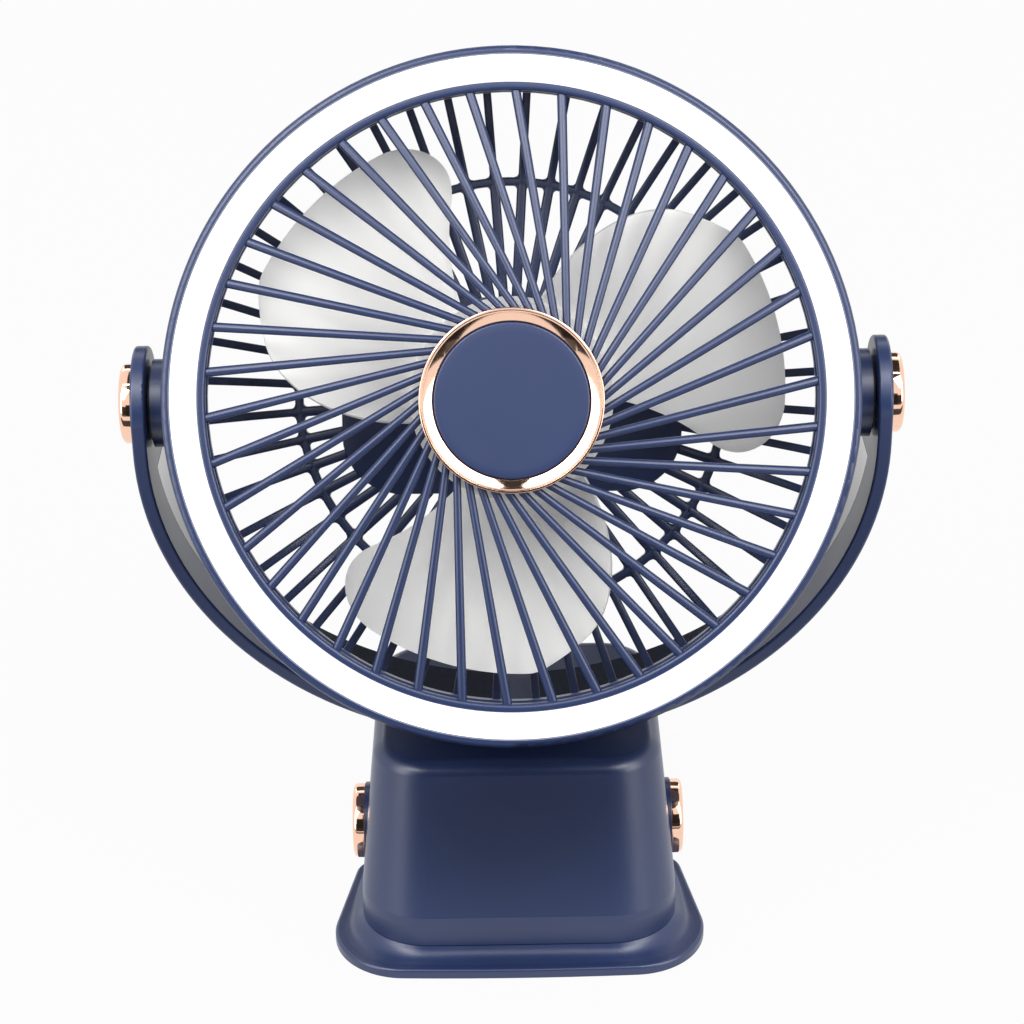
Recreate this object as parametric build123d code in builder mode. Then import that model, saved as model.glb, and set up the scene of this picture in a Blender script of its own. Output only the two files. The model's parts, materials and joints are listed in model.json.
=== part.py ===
from build123d import *
from math import acos, atan2, ceil, cos, pi, radians, sin, sqrt, tan
import os

os.makedirs("parts", exist_ok=True)

# A clip-on fan with a ring light. X runs to the viewer's right, the front faces -Y and Z is up.
# The origin is on the floor, under the swivel.

# Clearances
cut_overrun = 2.0
seat_gap = 0.2
fit_gap = 0.05
turning_gap = 0.15
bearing_gap = 0.08
body_gap = 0.3

# Places of the three hinges
pivot_height = 135.0
tilt_angle = 23.5
clip_axle_height = 21.0
clip_open_angle = 32.0
clip_spare_angle = 2.0

# Head shell: an outer wall with the floor of the light's channel inside it
head_radius = 77.5
head_front = 18.0
head_rear = 11.0
rim_width = 1.7
rim_round = 1.2
shell_wall = 2.6
channel_floor = 1.8
light_channel_depth = 6.4
pivot_boss_radius = 10.0
pivot_boss_reach = 3.4
pivot_tower_radius = 4.5
shell_screw_count = 6
shell_screw_boss_radius = 2.5

# Ring light
light_width = 5.8
diffuser_thickness = 3.2
diffuser_recess = 0.4
led_board_width = 4.0
led_board_thickness = 1.2
led_count = 36
led_length = 2.8
led_width = 1.6
led_height = 0.8

# Front grille
inner_ring_width = 2.4
inner_ring_depth = 5.6
inner_ring_taper = 1.0
inner_ring_recess = 0.4
front_rib_count = 42
front_rib_first_angle = -8.85
front_rib_tangent_radius = 12.35
front_rib_width = 2.0
front_rib_depth = 2.6
front_rib_recess = 0.8
front_rib_bulge_share = -0.02
front_hub_radius = 20.0
front_hub_front = 23.4
front_hub_thickness = 3.8
front_hub_rib_recess = 0.5
front_hub_rib_bite = 2.0
hub_ring_radius = 20.3
hub_ring_width = 3.0
hub_ring_height = 2.6
hub_ring_round = 1.0
hub_cap_height = 1.6
hub_cap_dish = 0.4

# Rear grille and the tray of the control box in its middle
rear_rim_thickness = 2.2
rear_rim_width = 5.7
rear_rib_count = 48
rear_rib_first_angle = 3.75
rear_rib_width = 1.9
rear_rib_depth = 2.8
rear_rib_root = 3.0
rear_spoke_width = 2.3
rear_rib_bulge_share = 0.1
rear_ring_radius = 50.0
rear_ring_width = 2.0
rear_ring_back = 25.5
rear_rib_end_back = 26.6
rear_rib_end_radius = 20.0
box_width = 80.0
box_height = 46.0
box_corner = 14.0
box_wall = 2.0
box_edge_round = 3.0
tray_front = 22.5
tray_depth = 10.5
box_back = 47.9
box_boss_radius = 2.5
upper_boss_x = 33.0
upper_boss_y = 15.0
lower_boss_x = 35.4
lower_boss_y = -9.5
motor_sleeve_wall = 1.9
motor_sleeve_length = 13.5

# What the control box holds
battery_radius = 9.1
battery_length = 65.0
battery_drop = 9.5
battery_tip_radius = 3.0
battery_tip_length = 1.0
board_width = 56.0
board_height = 15.0
board_thickness = 1.6
board_rise = 11.0
board_post_radius = 2.4
board_post_x = 24.0
board_standoff = 3.3
switch_side = 6.0
switch_height = 1.2
button_x = 12.0
button_radius = 5.0
button_proud = 1.1
button_flange = 1.0
button_flange_thickness = 0.7
button_post_radius = 1.5
button_post_length = 0.3
button_edge_round = 0.5
lens_radius = 1.4
port_width = 9.0
port_height = 3.2
port_depth = 7.6
port_wall = 0.3
port_tongue_thickness = 0.7
port_tongue_width = 6.6

# Screws
small_screw_radius = 1.2
small_screw_head_radius = 2.2
small_screw_head_height = 1.4
shell_screw_length = 9.0
cover_screw_bite = 5.0
motor_screw_radius = 0.9
motor_screw_head_radius = 1.7
motor_screw_length = 4.6
motor_screw_x = 7.0
pivot_screw_radius = 2.0
pivot_screw_head_radius = 4.0
pivot_screw_head_height = 2.0
pivot_screw_bite = 9.0

# Motor
motor_radius = 12.2
motor_length = 26.8
motor_wall = 1.0
motor_bush_radius = 2.5
motor_bush_length = 4.5
motor_bush_proud = 1.5
motor_end_thickness = 3.0
motor_rear_bush_length = 4.2
magnet_thickness = 2.2
magnet_length = 16.0
magnet_offset = 2.5
magnet_arc = 110.0
armature_radius = 8.4
armature_length = 13.0
armature_offset = 4.5
armature_slot_width = 2.6
armature_slot_depth = 4.6
armature_pole_count = 3
commutator_radius = 2.6
commutator_length = 3.0
commutator_gap = 0.6
brush_width = 2.4
shaft_radius = 1.0
shaft_proud = 5.8

# Impeller: the outline of one blade is given by shares of the tip radius and clock angles
blade_count = 3
impeller_tip_radius = 62.6
rotor_hub_radius = 21.8
rotor_hub_wall = 2.0
rotor_hub_front = 11.0
rotor_hub_depth = 23.0
rotor_hub_round = 3.5
rotor_boss_radius = 4.0
rotor_boss_length = 2.4
blade_thickness = 1.5
blade_middle_angle = -55.0
blade_span = 48.0
blade_root_distance = 12.0
blade_root_slope_share = 0.42
blade_tip_slope_share = 0.24
blade_camber = 2.0
blade_tip_shares = ((1.0, -28.3), (1.0, -45.5), (1.0, -62.6))
leading_edge_shares = (
    (0.33, -30.0), (0.414, -27.5), (0.593, -21.8), (0.762, -16.0), (0.842, -15.3),
    (0.912, -17.1), (0.967, -20.8), (1.0, -28.3),
)
trailing_edge_shares = (
    (1.0, -62.6), (0.971, -68.1), (0.927, -73.6), (0.879, -79.1), (0.784, -85.6),
    (0.604, -94.1), (0.33, -104.0),
)

# Yoke
yoke_wall = 3.2
yoke_width = 26.0
yoke_shoulder = 7.0
swing_gap = 0.9
yoke_edge_round = 0.6
yoke_cover_thickness = 1.5
yoke_seam = 2.0
yoke_cover_drop = 15.0
yoke_cover_gap = 10.8
pivot_washer_radius = 8.5
pivot_washer_thickness = 0.6
pivot_knob_radius = 9.1
pivot_knob_height = 3.3
knob_round = 0.9

# Swivel between the yoke and the column
swivel_boss_radius = 10.0
swivel_boss_root_share = 0.8
swivel_spigot_radius = 5.9
swivel_ring_thickness = 0.8
swivel_washer_radius = 9.0
swivel_washer_thickness = 1.2
swivel_screw_radius = 2.0
swivel_screw_head_radius = 4.0
swivel_screw_head_height = 2.4
swivel_screw_bite = 4.0

# Column, the upper jaw of the clip
column_top = 49.5
jaw_level = 5.6
lip_height = 6.3
lip_softening = 1.2
column_foot_width = 76.0
column_foot_front = 31.0
column_foot_rear = 42.0
column_foot_round = 16.0
column_top_width = 68.2
column_top_front = 20.0
column_top_rear = 38.5
column_top_round = 13.0
column_wall = 2.2
column_edge_round = 4.0
clip_boss_radius = 9.4
clip_boss_face = 37.2
clip_boss_thickness = 3.0
tower_radius = 3.0
front_tower_x = 24.0
front_tower_y = -20.0
rear_tower_x = 22.0
rear_tower_y = 30.0
cover_thickness = 2.0
front_cover_rear = 11.0
rear_cover_start = 18.5
jaw_pad_thickness = 1.2
jaw_pad_width = 54.0
jaw_pad_front = 27.0
jaw_pad_rear = 12.0
jaw_pad_round = 6.0
jaw_groove_count = 4
jaw_groove_width = 1.2
jaw_groove_depth_share = 0.5
jaw_groove_side_margin = 6.0
spring_rib_width = 14.0
spring_rib_depth = 7.0
column_screw_length = 8.0

# Base plate, the lower jaw of the clip
base_lift = 0.3
base_rim_top = 2.7
base_flare_share = 0.6
base_flare_height_share = 0.22
base_front = 37.2
base_front_bow = 1.6
base_front_width = 96.0
base_rear = 10.0
base_rear_width = 79.4
base_front_round = 17.5
base_rear_round = 6.0
base_rim_round = 0.8
base_flare_inset = 1.5
base_flare_root = 0.8
pedestal_front_bow = 0.4
pedestal_rear = 9.0
pedestal_rear_round = 4.0
tail_width = 56.0
tail_rear = 46.0
tail_thickness = 3.4
tail_round = 12.0
base_pad_width = 46.0
base_pad_front = 31.0
base_pad_rear = 36.0
base_pad_round = 8.0
base_pad_thickness = 1.1
ear_outer = 33.4
ear_thickness = 3.8
ear_radius = 7.0
ear_foot = 16.0

# Clip axle and spring
axle_radius = 2.5
axle_end = 0.9
clip_knob_radius = 9.1
clip_knob_height = 3.2
clip_knob_bore_depth = 1.4
spring_wire_radius = 0.8
spring_coil_radius = 5.4
spring_pitch = 2.3
spring_turns = 4
spring_leg_reach = 30.0
spring_leg_rise = 14.0

# Sizes worked out from those above
rim_inner_radius = head_radius - rim_width
diffuser_outer_radius = rim_inner_radius - seat_gap
diffuser_inner_radius = diffuser_outer_radius - light_width
ring_outer_radius = diffuser_inner_radius - seat_gap
ring_inner_radius = ring_outer_radius - inner_ring_width
ring_front = head_front - inner_ring_recess
floor_inner_radius = ring_inner_radius + inner_ring_taper
channel_outer_radius = head_radius - shell_wall
rear_rim_radius = head_radius - rim_round
rear_rim_inner_radius = rear_rim_radius - rear_rim_width
rear_rim_middle_radius = rear_rim_radius - rear_rim_width / 2
ledge_front = head_front - diffuser_recess - diffuser_thickness
floor_front = ledge_front - light_channel_depth
floor_rear = floor_front - channel_floor
pivot_boss_face = head_radius + pivot_boss_reach
yoke_inner_half = pivot_boss_face + pivot_washer_thickness + body_gap
yoke_outer_half = yoke_inner_half + yoke_wall
yoke_inner_drop = sqrt(head_radius**2 + (head_front - rim_round) ** 2) + swing_gap - yoke_shoulder
yoke_outer_drop = yoke_inner_drop + yoke_wall
yoke_underside = pivot_height - yoke_shoulder - yoke_outer_drop
swivel_ring_bottom = column_top + turning_gap
swivel_boss_bottom = swivel_ring_bottom + swivel_ring_thickness
swivel_spigot_end = column_top - column_wall - turning_gap
lip_top = jaw_level + lip_height
column_foot_middle = (column_foot_rear - column_foot_front) / 2
column_top_middle = (column_top_rear - column_top_front) / 2
pedestal_top = jaw_level - body_gap
box_joint = tray_front + tray_depth
box_inner_back = box_back - box_wall
battery_back = box_inner_back - body_gap - battery_radius
board_back = box_inner_back - board_standoff
motor_back = tray_front - turning_gap
motor_front = motor_length - motor_back
motor_inner_radius = motor_radius - motor_wall
armature_front = motor_front - motor_wall - armature_offset
commutator_front = armature_front - armature_length - commutator_gap

# Planes and axes of the head: x to the side, y up the head, z forward along the fan's axis
pivot = Vector(0, 0, pivot_height)
tilt = radians(tilt_angle)
head_plane = Plane(origin=pivot, x_dir=(1, 0, 0), z_dir=(0, -cos(tilt), sin(tilt)))
head_axis = Axis(pivot, head_plane.z_dir)


def head_direction(clock_angle):
    """The direction across the head at an angle clockwise from its top, seen from the front."""
    turn = radians(clock_angle)
    return head_plane.x_dir * sin(turn) + head_plane.y_dir * cos(turn)


def radial_plane(clock_angle):
    """A plane through the head's axis, with x outwards at a clock angle and y forward."""
    return Plane(
        origin=pivot, x_dir=head_direction(clock_angle), z_dir=head_direction(clock_angle + 90)
    )


def side_plane(side, height, depth=0):
    """A plane that faces right (1) or left (-1), with y up and its origin on the part's mid-plane."""
    return Plane(origin=(0, depth, height), x_dir=(0, side, 0), z_dir=(side, 0, 0))


def bulge_point(start, end, share):
    """The middle of a chord, moved to its right by a share of its length."""
    run = (end[0] - start[0], end[1] - start[1])
    middle = ((start[0] + end[0]) / 2, (start[1] + end[1]) / 2)
    return (middle[0] + share * run[1], middle[1] - share * run[0])


def clock_point(radius, clock_angle):
    """A point of the head's plane at a radius and an angle clockwise from the top."""
    turn = radians(clock_angle)
    return (radius * sin(turn), radius * cos(turn))


def save(builder, name):
    """Labels a finished piece and writes it."""
    builder.part.label = name
    export_step(builder.part, f"parts/{name}.step")


head_section = radial_plane(90)
yoke_plane = Plane(origin=pivot, x_dir=(1, 0, 0), z_dir=(0, -1, 0))
clip_plane = Plane(origin=(0, 0, clip_axle_height), x_dir=(0, 1, 0), z_dir=(1, 0, 0))
sides = (("left", -1), ("right", 1))

# Head shell
with BuildPart() as head_shell:
    with BuildSketch(head_section) as shell_profile:
        with BuildLine():
            Polyline(
                (floor_inner_radius, floor_front),
                (channel_outer_radius, floor_front),
                (channel_outer_radius, ledge_front),
                (rim_inner_radius, ledge_front),
                (rim_inner_radius, head_front),
                (head_radius, head_front),
                (head_radius, -head_rear),
                (channel_outer_radius, -head_rear),
                (channel_outer_radius, floor_rear),
                (floor_inner_radius, floor_rear),
                close=True,
            )
        make_face()
        fillet(shell_profile.vertices().group_by(Axis.X)[-1], rim_round)
    revolve(axis=head_axis)
    with BuildSketch(head_plane.offset(floor_rear)):
        with PolarLocations(rear_rim_middle_radius, shell_screw_count, start_angle=90):
            Circle(shell_screw_boss_radius)
    extrude(amount=-(floor_rear + head_rear))
    for name, side in sides:
        with BuildSketch(side_plane(side, pivot_height).offset(channel_outer_radius)):
            Circle(pivot_boss_radius)
        extrude(amount=pivot_boss_face - channel_outer_radius)
        with BuildSketch(side_plane(side, pivot_height).offset(rear_rim_inner_radius)):
            Circle(pivot_tower_radius)
        extrude(amount=channel_outer_radius + shell_wall / 2 - rear_rim_inner_radius)
        with BuildSketch(side_plane(side, pivot_height).offset(pivot_boss_face - pivot_screw_bite)):
            Circle(pivot_screw_radius + fit_gap)
        extrude(amount=pivot_screw_bite + cut_overrun, mode=Mode.SUBTRACT)
    with BuildSketch(head_plane.offset(-head_rear)):
        with PolarLocations(rear_rim_middle_radius, shell_screw_count, start_angle=90):
            Circle(small_screw_radius + fit_gap)
    extrude(amount=shell_screw_length, mode=Mode.SUBTRACT)
save(head_shell, "head_shell")

# Light ring behind the rim
with BuildPart() as light_diffuser:
    with BuildSketch(head_plane.offset(ledge_front)):
        Circle(diffuser_outer_radius)
        Circle(diffuser_inner_radius, mode=Mode.SUBTRACT)
    extrude(amount=diffuser_thickness)
    fillet(light_diffuser.faces().sort_by(head_axis)[-1].edges(), seat_gap)
save(light_diffuser, "light_diffuser")

led_board_middle = (ring_outer_radius + channel_outer_radius) / 2
with BuildPart() as led_board:
    with BuildSketch(head_plane.offset(floor_front)):
        Circle(led_board_middle + led_board_width / 2)
        Circle(led_board_middle - led_board_width / 2, mode=Mode.SUBTRACT)
    extrude(amount=led_board_thickness)
save(led_board, "led_board")

with BuildPart() as led_chips:
    with BuildSketch(head_plane.offset(floor_front + led_board_thickness)):
        with PolarLocations(led_board_middle, led_count):
            Rectangle(led_width, led_length)
    extrude(amount=led_height)
save(led_chips, "led_chips")

# Front grille: straight ribs, each tangent to a small circle about the hub
front_rib_planes = [
    radial_plane(front_rib_first_angle + 360 * k / front_rib_count).offset(front_rib_tangent_radius)
    for k in range(front_rib_count)
]
ring_middle_radius = ring_inner_radius + inner_ring_width / 2
rib_outer = sqrt(ring_middle_radius**2 - front_rib_tangent_radius**2)
rib_inner = sqrt((front_hub_radius - front_hub_rib_bite) ** 2 - front_rib_tangent_radius**2)
rib_front_outer = (rib_outer, ring_front - front_rib_recess)
rib_front_inner = (rib_inner, front_hub_front - front_hub_rib_recess)
rib_back_outer = (rib_outer, rib_front_outer[1] - front_rib_depth)
rib_back_inner = (rib_inner, rib_front_inner[1] - front_rib_depth)
with BuildPart() as front_grille:
    with BuildSketch(head_section):
        with BuildLine():
            Polyline(
                (ring_inner_radius, ring_front),
                (ring_outer_radius, ring_front),
                (ring_outer_radius, floor_front),
                (floor_inner_radius, floor_front),
                (ring_inner_radius, ring_front - inner_ring_depth),
                close=True,
            )
        make_face()
    revolve(axis=head_axis)
    with BuildSketch(head_plane.offset(front_hub_front)):
        Circle(front_hub_radius)
    extrude(amount=-front_hub_thickness)
    with BuildSketch(*front_rib_planes):
        with BuildLine():
            ThreePointArc(
                rib_front_outer,
                bulge_point(rib_front_outer, rib_front_inner, -front_rib_bulge_share),
                rib_front_inner,
            )
            Line(rib_front_inner, rib_back_inner)
            ThreePointArc(
                rib_back_inner,
                bulge_point(rib_back_inner, rib_back_outer, front_rib_bulge_share),
                rib_back_outer,
            )
            Line(rib_back_outer, rib_front_outer)
        make_face()
    extrude(amount=front_rib_width / 2, both=True)
save(front_grille, "front_grille")

# Hub ring and cap on the front grille's hub
with BuildPart() as hub_trim_ring:
    with BuildSketch(head_plane.offset(front_hub_front)):
        Circle(hub_ring_radius)
        Circle(hub_ring_radius - hub_ring_width, mode=Mode.SUBTRACT)
    extrude(amount=hub_ring_height)
    fillet(hub_trim_ring.faces().sort_by(head_axis)[-1].edges(), hub_ring_round)
save(hub_trim_ring, "hub_trim_ring")

hub_cap_radius = hub_ring_radius - hub_ring_width - seat_gap
hub_cap_front = front_hub_front + hub_cap_height
with BuildPart() as hub_cap:
    with BuildSketch(head_section):
        with BuildLine():
            TangentArc((0, hub_cap_front - hub_cap_dish), (hub_cap_radius, hub_cap_front), tangent=(1, 0))
            Polyline(
                (hub_cap_radius, hub_cap_front),
                (hub_cap_radius, front_hub_front),
                (0, front_hub_front),
                (0, hub_cap_front - hub_cap_dish),
            )
        make_face()
    revolve(axis=head_axis)
save(hub_cap, "hub_cap")

# Rear grille: curved ribs from the rim to one ring, and wider spokes from there to the control box
rear_rib_planes = [
    radial_plane(rear_rib_first_angle + 360 * k / rear_rib_count) for k in range(rear_rib_count)
]
rear_rim_back = head_rear + rear_rim_thickness
rear_root_back = (rear_rim_inner_radius + rear_rib_root, -rear_rim_back)
rear_root_front = (rear_root_back[0] - rear_rib_depth, -head_rear)
rear_ring_back_point = (rear_ring_radius, -rear_ring_back)
rear_ring_front_point = (rear_ring_radius, rear_rib_depth - rear_ring_back)
rear_end_back = (rear_rib_end_radius, -rear_rib_end_back)
rear_end_front = (rear_rib_end_radius, rear_rib_depth - rear_rib_end_back)
box_bosses = (
    (upper_boss_x, upper_boss_y),
    (-upper_boss_x, upper_boss_y),
    (lower_boss_x, lower_boss_y),
    (-lower_boss_x, lower_boss_y),
)
motor_screws_at = ((motor_screw_x, 0), (-motor_screw_x, 0))
with BuildPart() as rear_grille:
    with BuildSketch(head_plane.offset(-head_rear)):
        Circle(rear_rim_radius)
        Circle(rear_rim_inner_radius, mode=Mode.SUBTRACT)
    extrude(amount=-rear_rim_thickness)
    with BuildSketch(head_plane.offset(rear_rib_depth - rear_ring_back)):
        Circle(rear_ring_radius + rear_ring_width / 2)
        Circle(rear_ring_radius - rear_ring_width / 2, mode=Mode.SUBTRACT)
    extrude(amount=-rear_rib_depth)
    with BuildSketch(head_plane.offset(-tray_front)):
        RectangleRounded(box_width, box_height, box_corner)
    extrude(amount=-tray_depth)
    with BuildSketch(*rear_rib_planes):
        with BuildLine():
            ThreePointArc(
                rear_root_back,
                bulge_point(rear_root_back, rear_ring_back_point, -rear_rib_bulge_share),
                rear_ring_back_point,
            )
            Line(rear_ring_back_point, rear_ring_front_point)
            ThreePointArc(
                rear_ring_front_point,
                bulge_point(rear_ring_front_point, rear_root_front, rear_rib_bulge_share),
                rear_root_front,
            )
            Line(rear_root_front, rear_root_back)
        make_face()
    extrude(amount=rear_rib_width / 2, both=True)
    with BuildSketch(*rear_rib_planes):
        with BuildLine():
            Polyline(
                rear_ring_back_point, rear_end_back, rear_end_front, rear_ring_front_point, close=True
            )
        make_face()
    extrude(amount=rear_spoke_width / 2, both=True)
    with BuildSketch(head_plane.offset(-tray_front - box_wall)):
        RectangleRounded(box_width - 2 * box_wall, box_height - 2 * box_wall, box_corner - box_wall)
        with Locations(*box_bosses):
            Circle(box_boss_radius, mode=Mode.SUBTRACT)
    extrude(amount=-tray_depth, mode=Mode.SUBTRACT)
    with BuildSketch(head_plane.offset(-tray_front)):
        Circle(motor_radius + fit_gap + motor_sleeve_wall)
        Circle(motor_radius + fit_gap, mode=Mode.SUBTRACT)
    extrude(amount=motor_sleeve_length)
    with BuildSketch(head_plane.offset(-box_joint)):
        with Locations(*box_bosses):
            Circle(small_screw_radius + fit_gap)
    extrude(amount=cover_screw_bite, mode=Mode.SUBTRACT)
    with BuildSketch(head_plane.offset(-tray_front - box_wall)):
        with Locations(*motor_screws_at):
            Circle(motor_screw_radius + fit_gap)
    extrude(amount=box_wall + fit_gap, mode=Mode.SUBTRACT)
    with BuildSketch(head_plane.offset(-rear_rim_back)):
        with PolarLocations(rear_rim_middle_radius, shell_screw_count, start_angle=90):
            Circle(small_screw_head_radius + fit_gap)
    extrude(amount=small_screw_head_height, mode=Mode.SUBTRACT)
    with BuildSketch(head_plane.offset(-rear_rim_back)):
        with PolarLocations(rear_rim_middle_radius, shell_screw_count, start_angle=90):
            Circle(small_screw_radius + fit_gap)
    extrude(amount=rear_rim_thickness, mode=Mode.SUBTRACT)
save(rear_grille, "rear_grille")

with BuildPart() as shell_screws:
    with BuildSketch(head_plane.offset(-rear_rim_back)):
        with PolarLocations(rear_rim_middle_radius, shell_screw_count, start_angle=90):
            Circle(small_screw_head_radius)
    extrude(amount=small_screw_head_height)
    with BuildSketch(head_plane.offset(-rear_rim_back)):
        with PolarLocations(rear_rim_middle_radius, shell_screw_count, start_angle=90):
            Circle(small_screw_radius)
    extrude(amount=shell_screw_length)
save(shell_screws, "shell_screws")

# Control cover, the back half of the box
buttons_at = ((-button_x, board_rise), (button_x, board_rise))
board_posts_at = ((-board_post_x, board_rise), (board_post_x, board_rise))
port_back = board_back - board_thickness
port_middle = port_back - port_height / 2
port_plane = Plane(
    origin=pivot - head_plane.z_dir * port_middle + head_plane.y_dir * (box_height / 2),
    x_dir=(1, 0, 0),
    z_dir=-head_plane.y_dir,
)
with BuildPart() as control_cover:
    with BuildSketch(head_plane.offset(-box_joint)):
        RectangleRounded(box_width, box_height, box_corner)
    extrude(amount=box_joint - box_back)
    fillet(control_cover.faces().sort_by(head_axis)[0].edges(), box_edge_round)
    with BuildSketch(head_plane.offset(-box_joint)):
        RectangleRounded(box_width - 2 * box_wall, box_height - 2 * box_wall, box_corner - box_wall)
        with Locations(*box_bosses):
            Circle(box_boss_radius, mode=Mode.SUBTRACT)
    extrude(amount=box_joint - box_inner_back, mode=Mode.SUBTRACT)
    with BuildSketch(head_plane.offset(-box_inner_back)):
        with Locations(*board_posts_at):
            Circle(board_post_radius)
    extrude(amount=board_standoff)
    with BuildSketch(head_plane.offset(-box_back)):
        with Locations(*buttons_at):
            Circle(button_radius + body_gap)
        with Locations((0, board_rise)):
            Circle(lens_radius + fit_gap)
        with Locations(*box_bosses):
            Circle(small_screw_head_radius + fit_gap)
    extrude(amount=small_screw_head_height, mode=Mode.SUBTRACT)
    with BuildSketch(head_plane.offset(-box_back)):
        with Locations(*buttons_at):
            Circle(button_radius + body_gap)
        with Locations((0, board_rise)):
            Circle(lens_radius + fit_gap)
    extrude(amount=box_wall, mode=Mode.SUBTRACT)
    with BuildSketch(head_plane.offset(-box_back)):
        with Locations(*box_bosses):
            Circle(small_screw_radius + fit_gap)
    extrude(amount=box_back - box_joint, mode=Mode.SUBTRACT)
    with BuildSketch(port_plane):
        RectangleRounded(port_width + 2 * seat_gap, port_height + 2 * seat_gap, port_height / 2)
    extrude(amount=box_wall + cut_overrun, both=True, mode=Mode.SUBTRACT)
save(control_cover, "control_cover")

with BuildPart() as cover_screws:
    with BuildSketch(head_plane.offset(-box_back)):
        with Locations(*box_bosses):
            Circle(small_screw_head_radius)
    extrude(amount=small_screw_head_height)
    with BuildSketch(head_plane.offset(-box_back)):
        with Locations(*box_bosses):
            Circle(small_screw_radius)
    extrude(amount=box_back - box_joint + cover_screw_bite)
save(cover_screws, "cover_screws")

with BuildPart() as control_board:
    with BuildSketch(head_plane.offset(-board_back)):
        with Locations((0, board_rise)):
            Rectangle(board_width, board_height)
    extrude(amount=board_thickness)
save(control_board, "control_board")

with BuildPart() as button_switches:
    with BuildSketch(head_plane.offset(-board_back)):
        with Locations(*buttons_at):
            Rectangle(switch_side, switch_side)
    extrude(amount=-switch_height)
save(button_switches, "button_switches")

with BuildPart() as status_lens:
    with BuildSketch(head_plane.offset(-box_back)):
        with Locations((0, board_rise)):
            Circle(lens_radius)
    extrude(amount=box_wall + board_standoff)
save(status_lens, "status_lens")

button_flange_back = box_inner_back - seat_gap
for name, place in (("speed_button", buttons_at[0]), ("light_button", buttons_at[1])):
    with BuildPart() as button:
        with BuildSketch(head_plane.offset(-box_back - button_proud)):
            with Locations(place):
                Circle(button_radius)
        extrude(amount=box_back + button_proud - button_flange_back)
        fillet(button.faces().sort_by(head_axis)[0].edges(), button_edge_round)
        with BuildSketch(head_plane.offset(-button_flange_back)):
            with Locations(place):
                Circle(button_radius + button_flange)
        extrude(amount=button_flange_thickness)
        with BuildSketch(head_plane.offset(button_flange_thickness - button_flange_back)):
            with Locations(place):
                Circle(button_post_radius)
        extrude(amount=button_post_length)
    save(button, name)

with BuildPart() as charge_port:
    with BuildSketch(port_plane):
        RectangleRounded(port_width, port_height, port_height / 2 - fit_gap)
        RectangleRounded(
            port_width - 2 * port_wall,
            port_height - 2 * port_wall,
            port_height / 2 - port_wall - fit_gap,
            mode=Mode.SUBTRACT,
        )
    extrude(amount=port_depth)
    with BuildSketch(port_plane.offset(port_depth)):
        RectangleRounded(port_width, port_height, port_height / 2 - fit_gap)
    extrude(amount=-port_wall)
    with BuildSketch(port_plane.offset(port_depth)):
        Rectangle(port_tongue_width, port_tongue_thickness)
    extrude(amount=port_wall - port_depth)
save(charge_port, "charge_port")

battery_plane = Plane(
    origin=pivot - head_plane.z_dir * battery_back - head_plane.y_dir * battery_drop,
    x_dir=head_plane.y_dir,
    z_dir=(1, 0, 0),
)
with BuildPart() as battery_cell:
    with BuildSketch(battery_plane.offset(-battery_length / 2)):
        Circle(battery_radius)
    extrude(amount=battery_length - battery_tip_length)
    with BuildSketch(battery_plane.offset(battery_length / 2)):
        Circle(battery_tip_radius)
    extrude(amount=-battery_length / 2)
save(battery_cell, "battery_cell")

# Motor
with BuildPart() as motor_can:
    with BuildSketch(head_plane.offset(-motor_back)):
        Circle(motor_radius)
    extrude(amount=motor_length)
    with BuildSketch(head_plane.offset(-motor_back)):
        Circle(motor_inner_radius)
    extrude(amount=motor_length - motor_wall, mode=Mode.SUBTRACT)
    with BuildSketch(head_plane.offset(-motor_back)):
        Circle(motor_bush_radius + fit_gap)
    extrude(amount=motor_length, mode=Mode.SUBTRACT)
save(motor_can, "motor_can")

with BuildPart() as motor_front_bush:
    with BuildSketch(head_plane.offset(motor_front + motor_bush_proud)):
        Circle(motor_bush_radius)
        Circle(shaft_radius + fit_gap, mode=Mode.SUBTRACT)
    extrude(amount=-motor_bush_length)
save(motor_front_bush, "motor_front_bush")

with BuildPart() as motor_end_cap:
    with BuildSketch(head_plane.offset(-motor_back)):
        Circle(motor_inner_radius - fit_gap)
        Circle(motor_bush_radius + fit_gap, mode=Mode.SUBTRACT)
        with Locations(*motor_screws_at):
            Circle(motor_screw_radius + fit_gap, mode=Mode.SUBTRACT)
    extrude(amount=motor_end_thickness)
save(motor_end_cap, "motor_end_cap")

with BuildPart() as motor_rear_bush:
    with BuildSketch(head_plane.offset(-motor_back)):
        Circle(motor_bush_radius)
        Circle(shaft_radius + fit_gap, mode=Mode.SUBTRACT)
    extrude(amount=motor_rear_bush_length)
save(motor_rear_bush, "motor_rear_bush")

with BuildPart() as motor_screws:
    with BuildSketch(head_plane.offset(-tray_front - box_wall)):
        with Locations(*motor_screws_at):
            Circle(motor_screw_head_radius)
    extrude(amount=-small_screw_head_height)
    with BuildSketch(head_plane.offset(-tray_front - box_wall)):
        with Locations(*motor_screws_at):
            Circle(motor_screw_radius)
    extrude(amount=motor_screw_length)
save(motor_screws, "motor_screws")

magnet_outer_radius = motor_inner_radius - fit_gap
magnet_inner_radius = magnet_outer_radius - magnet_thickness
with BuildPart() as motor_magnets:
    for middle_angle in (0, 180):
        with BuildSketch(head_plane.offset(motor_front - motor_wall - magnet_offset)):
            with BuildLine():
                first_angle = middle_angle - magnet_arc / 2
                outer_arc = CenterArc((0, 0), magnet_outer_radius, first_angle, magnet_arc)
                inner_arc = CenterArc((0, 0), magnet_inner_radius, first_angle, magnet_arc)
                Line(outer_arc @ 0, inner_arc @ 0)
                Line(outer_arc @ 1, inner_arc @ 1)
            make_face()
        extrude(amount=-magnet_length)
save(motor_magnets, "motor_magnets")

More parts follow.
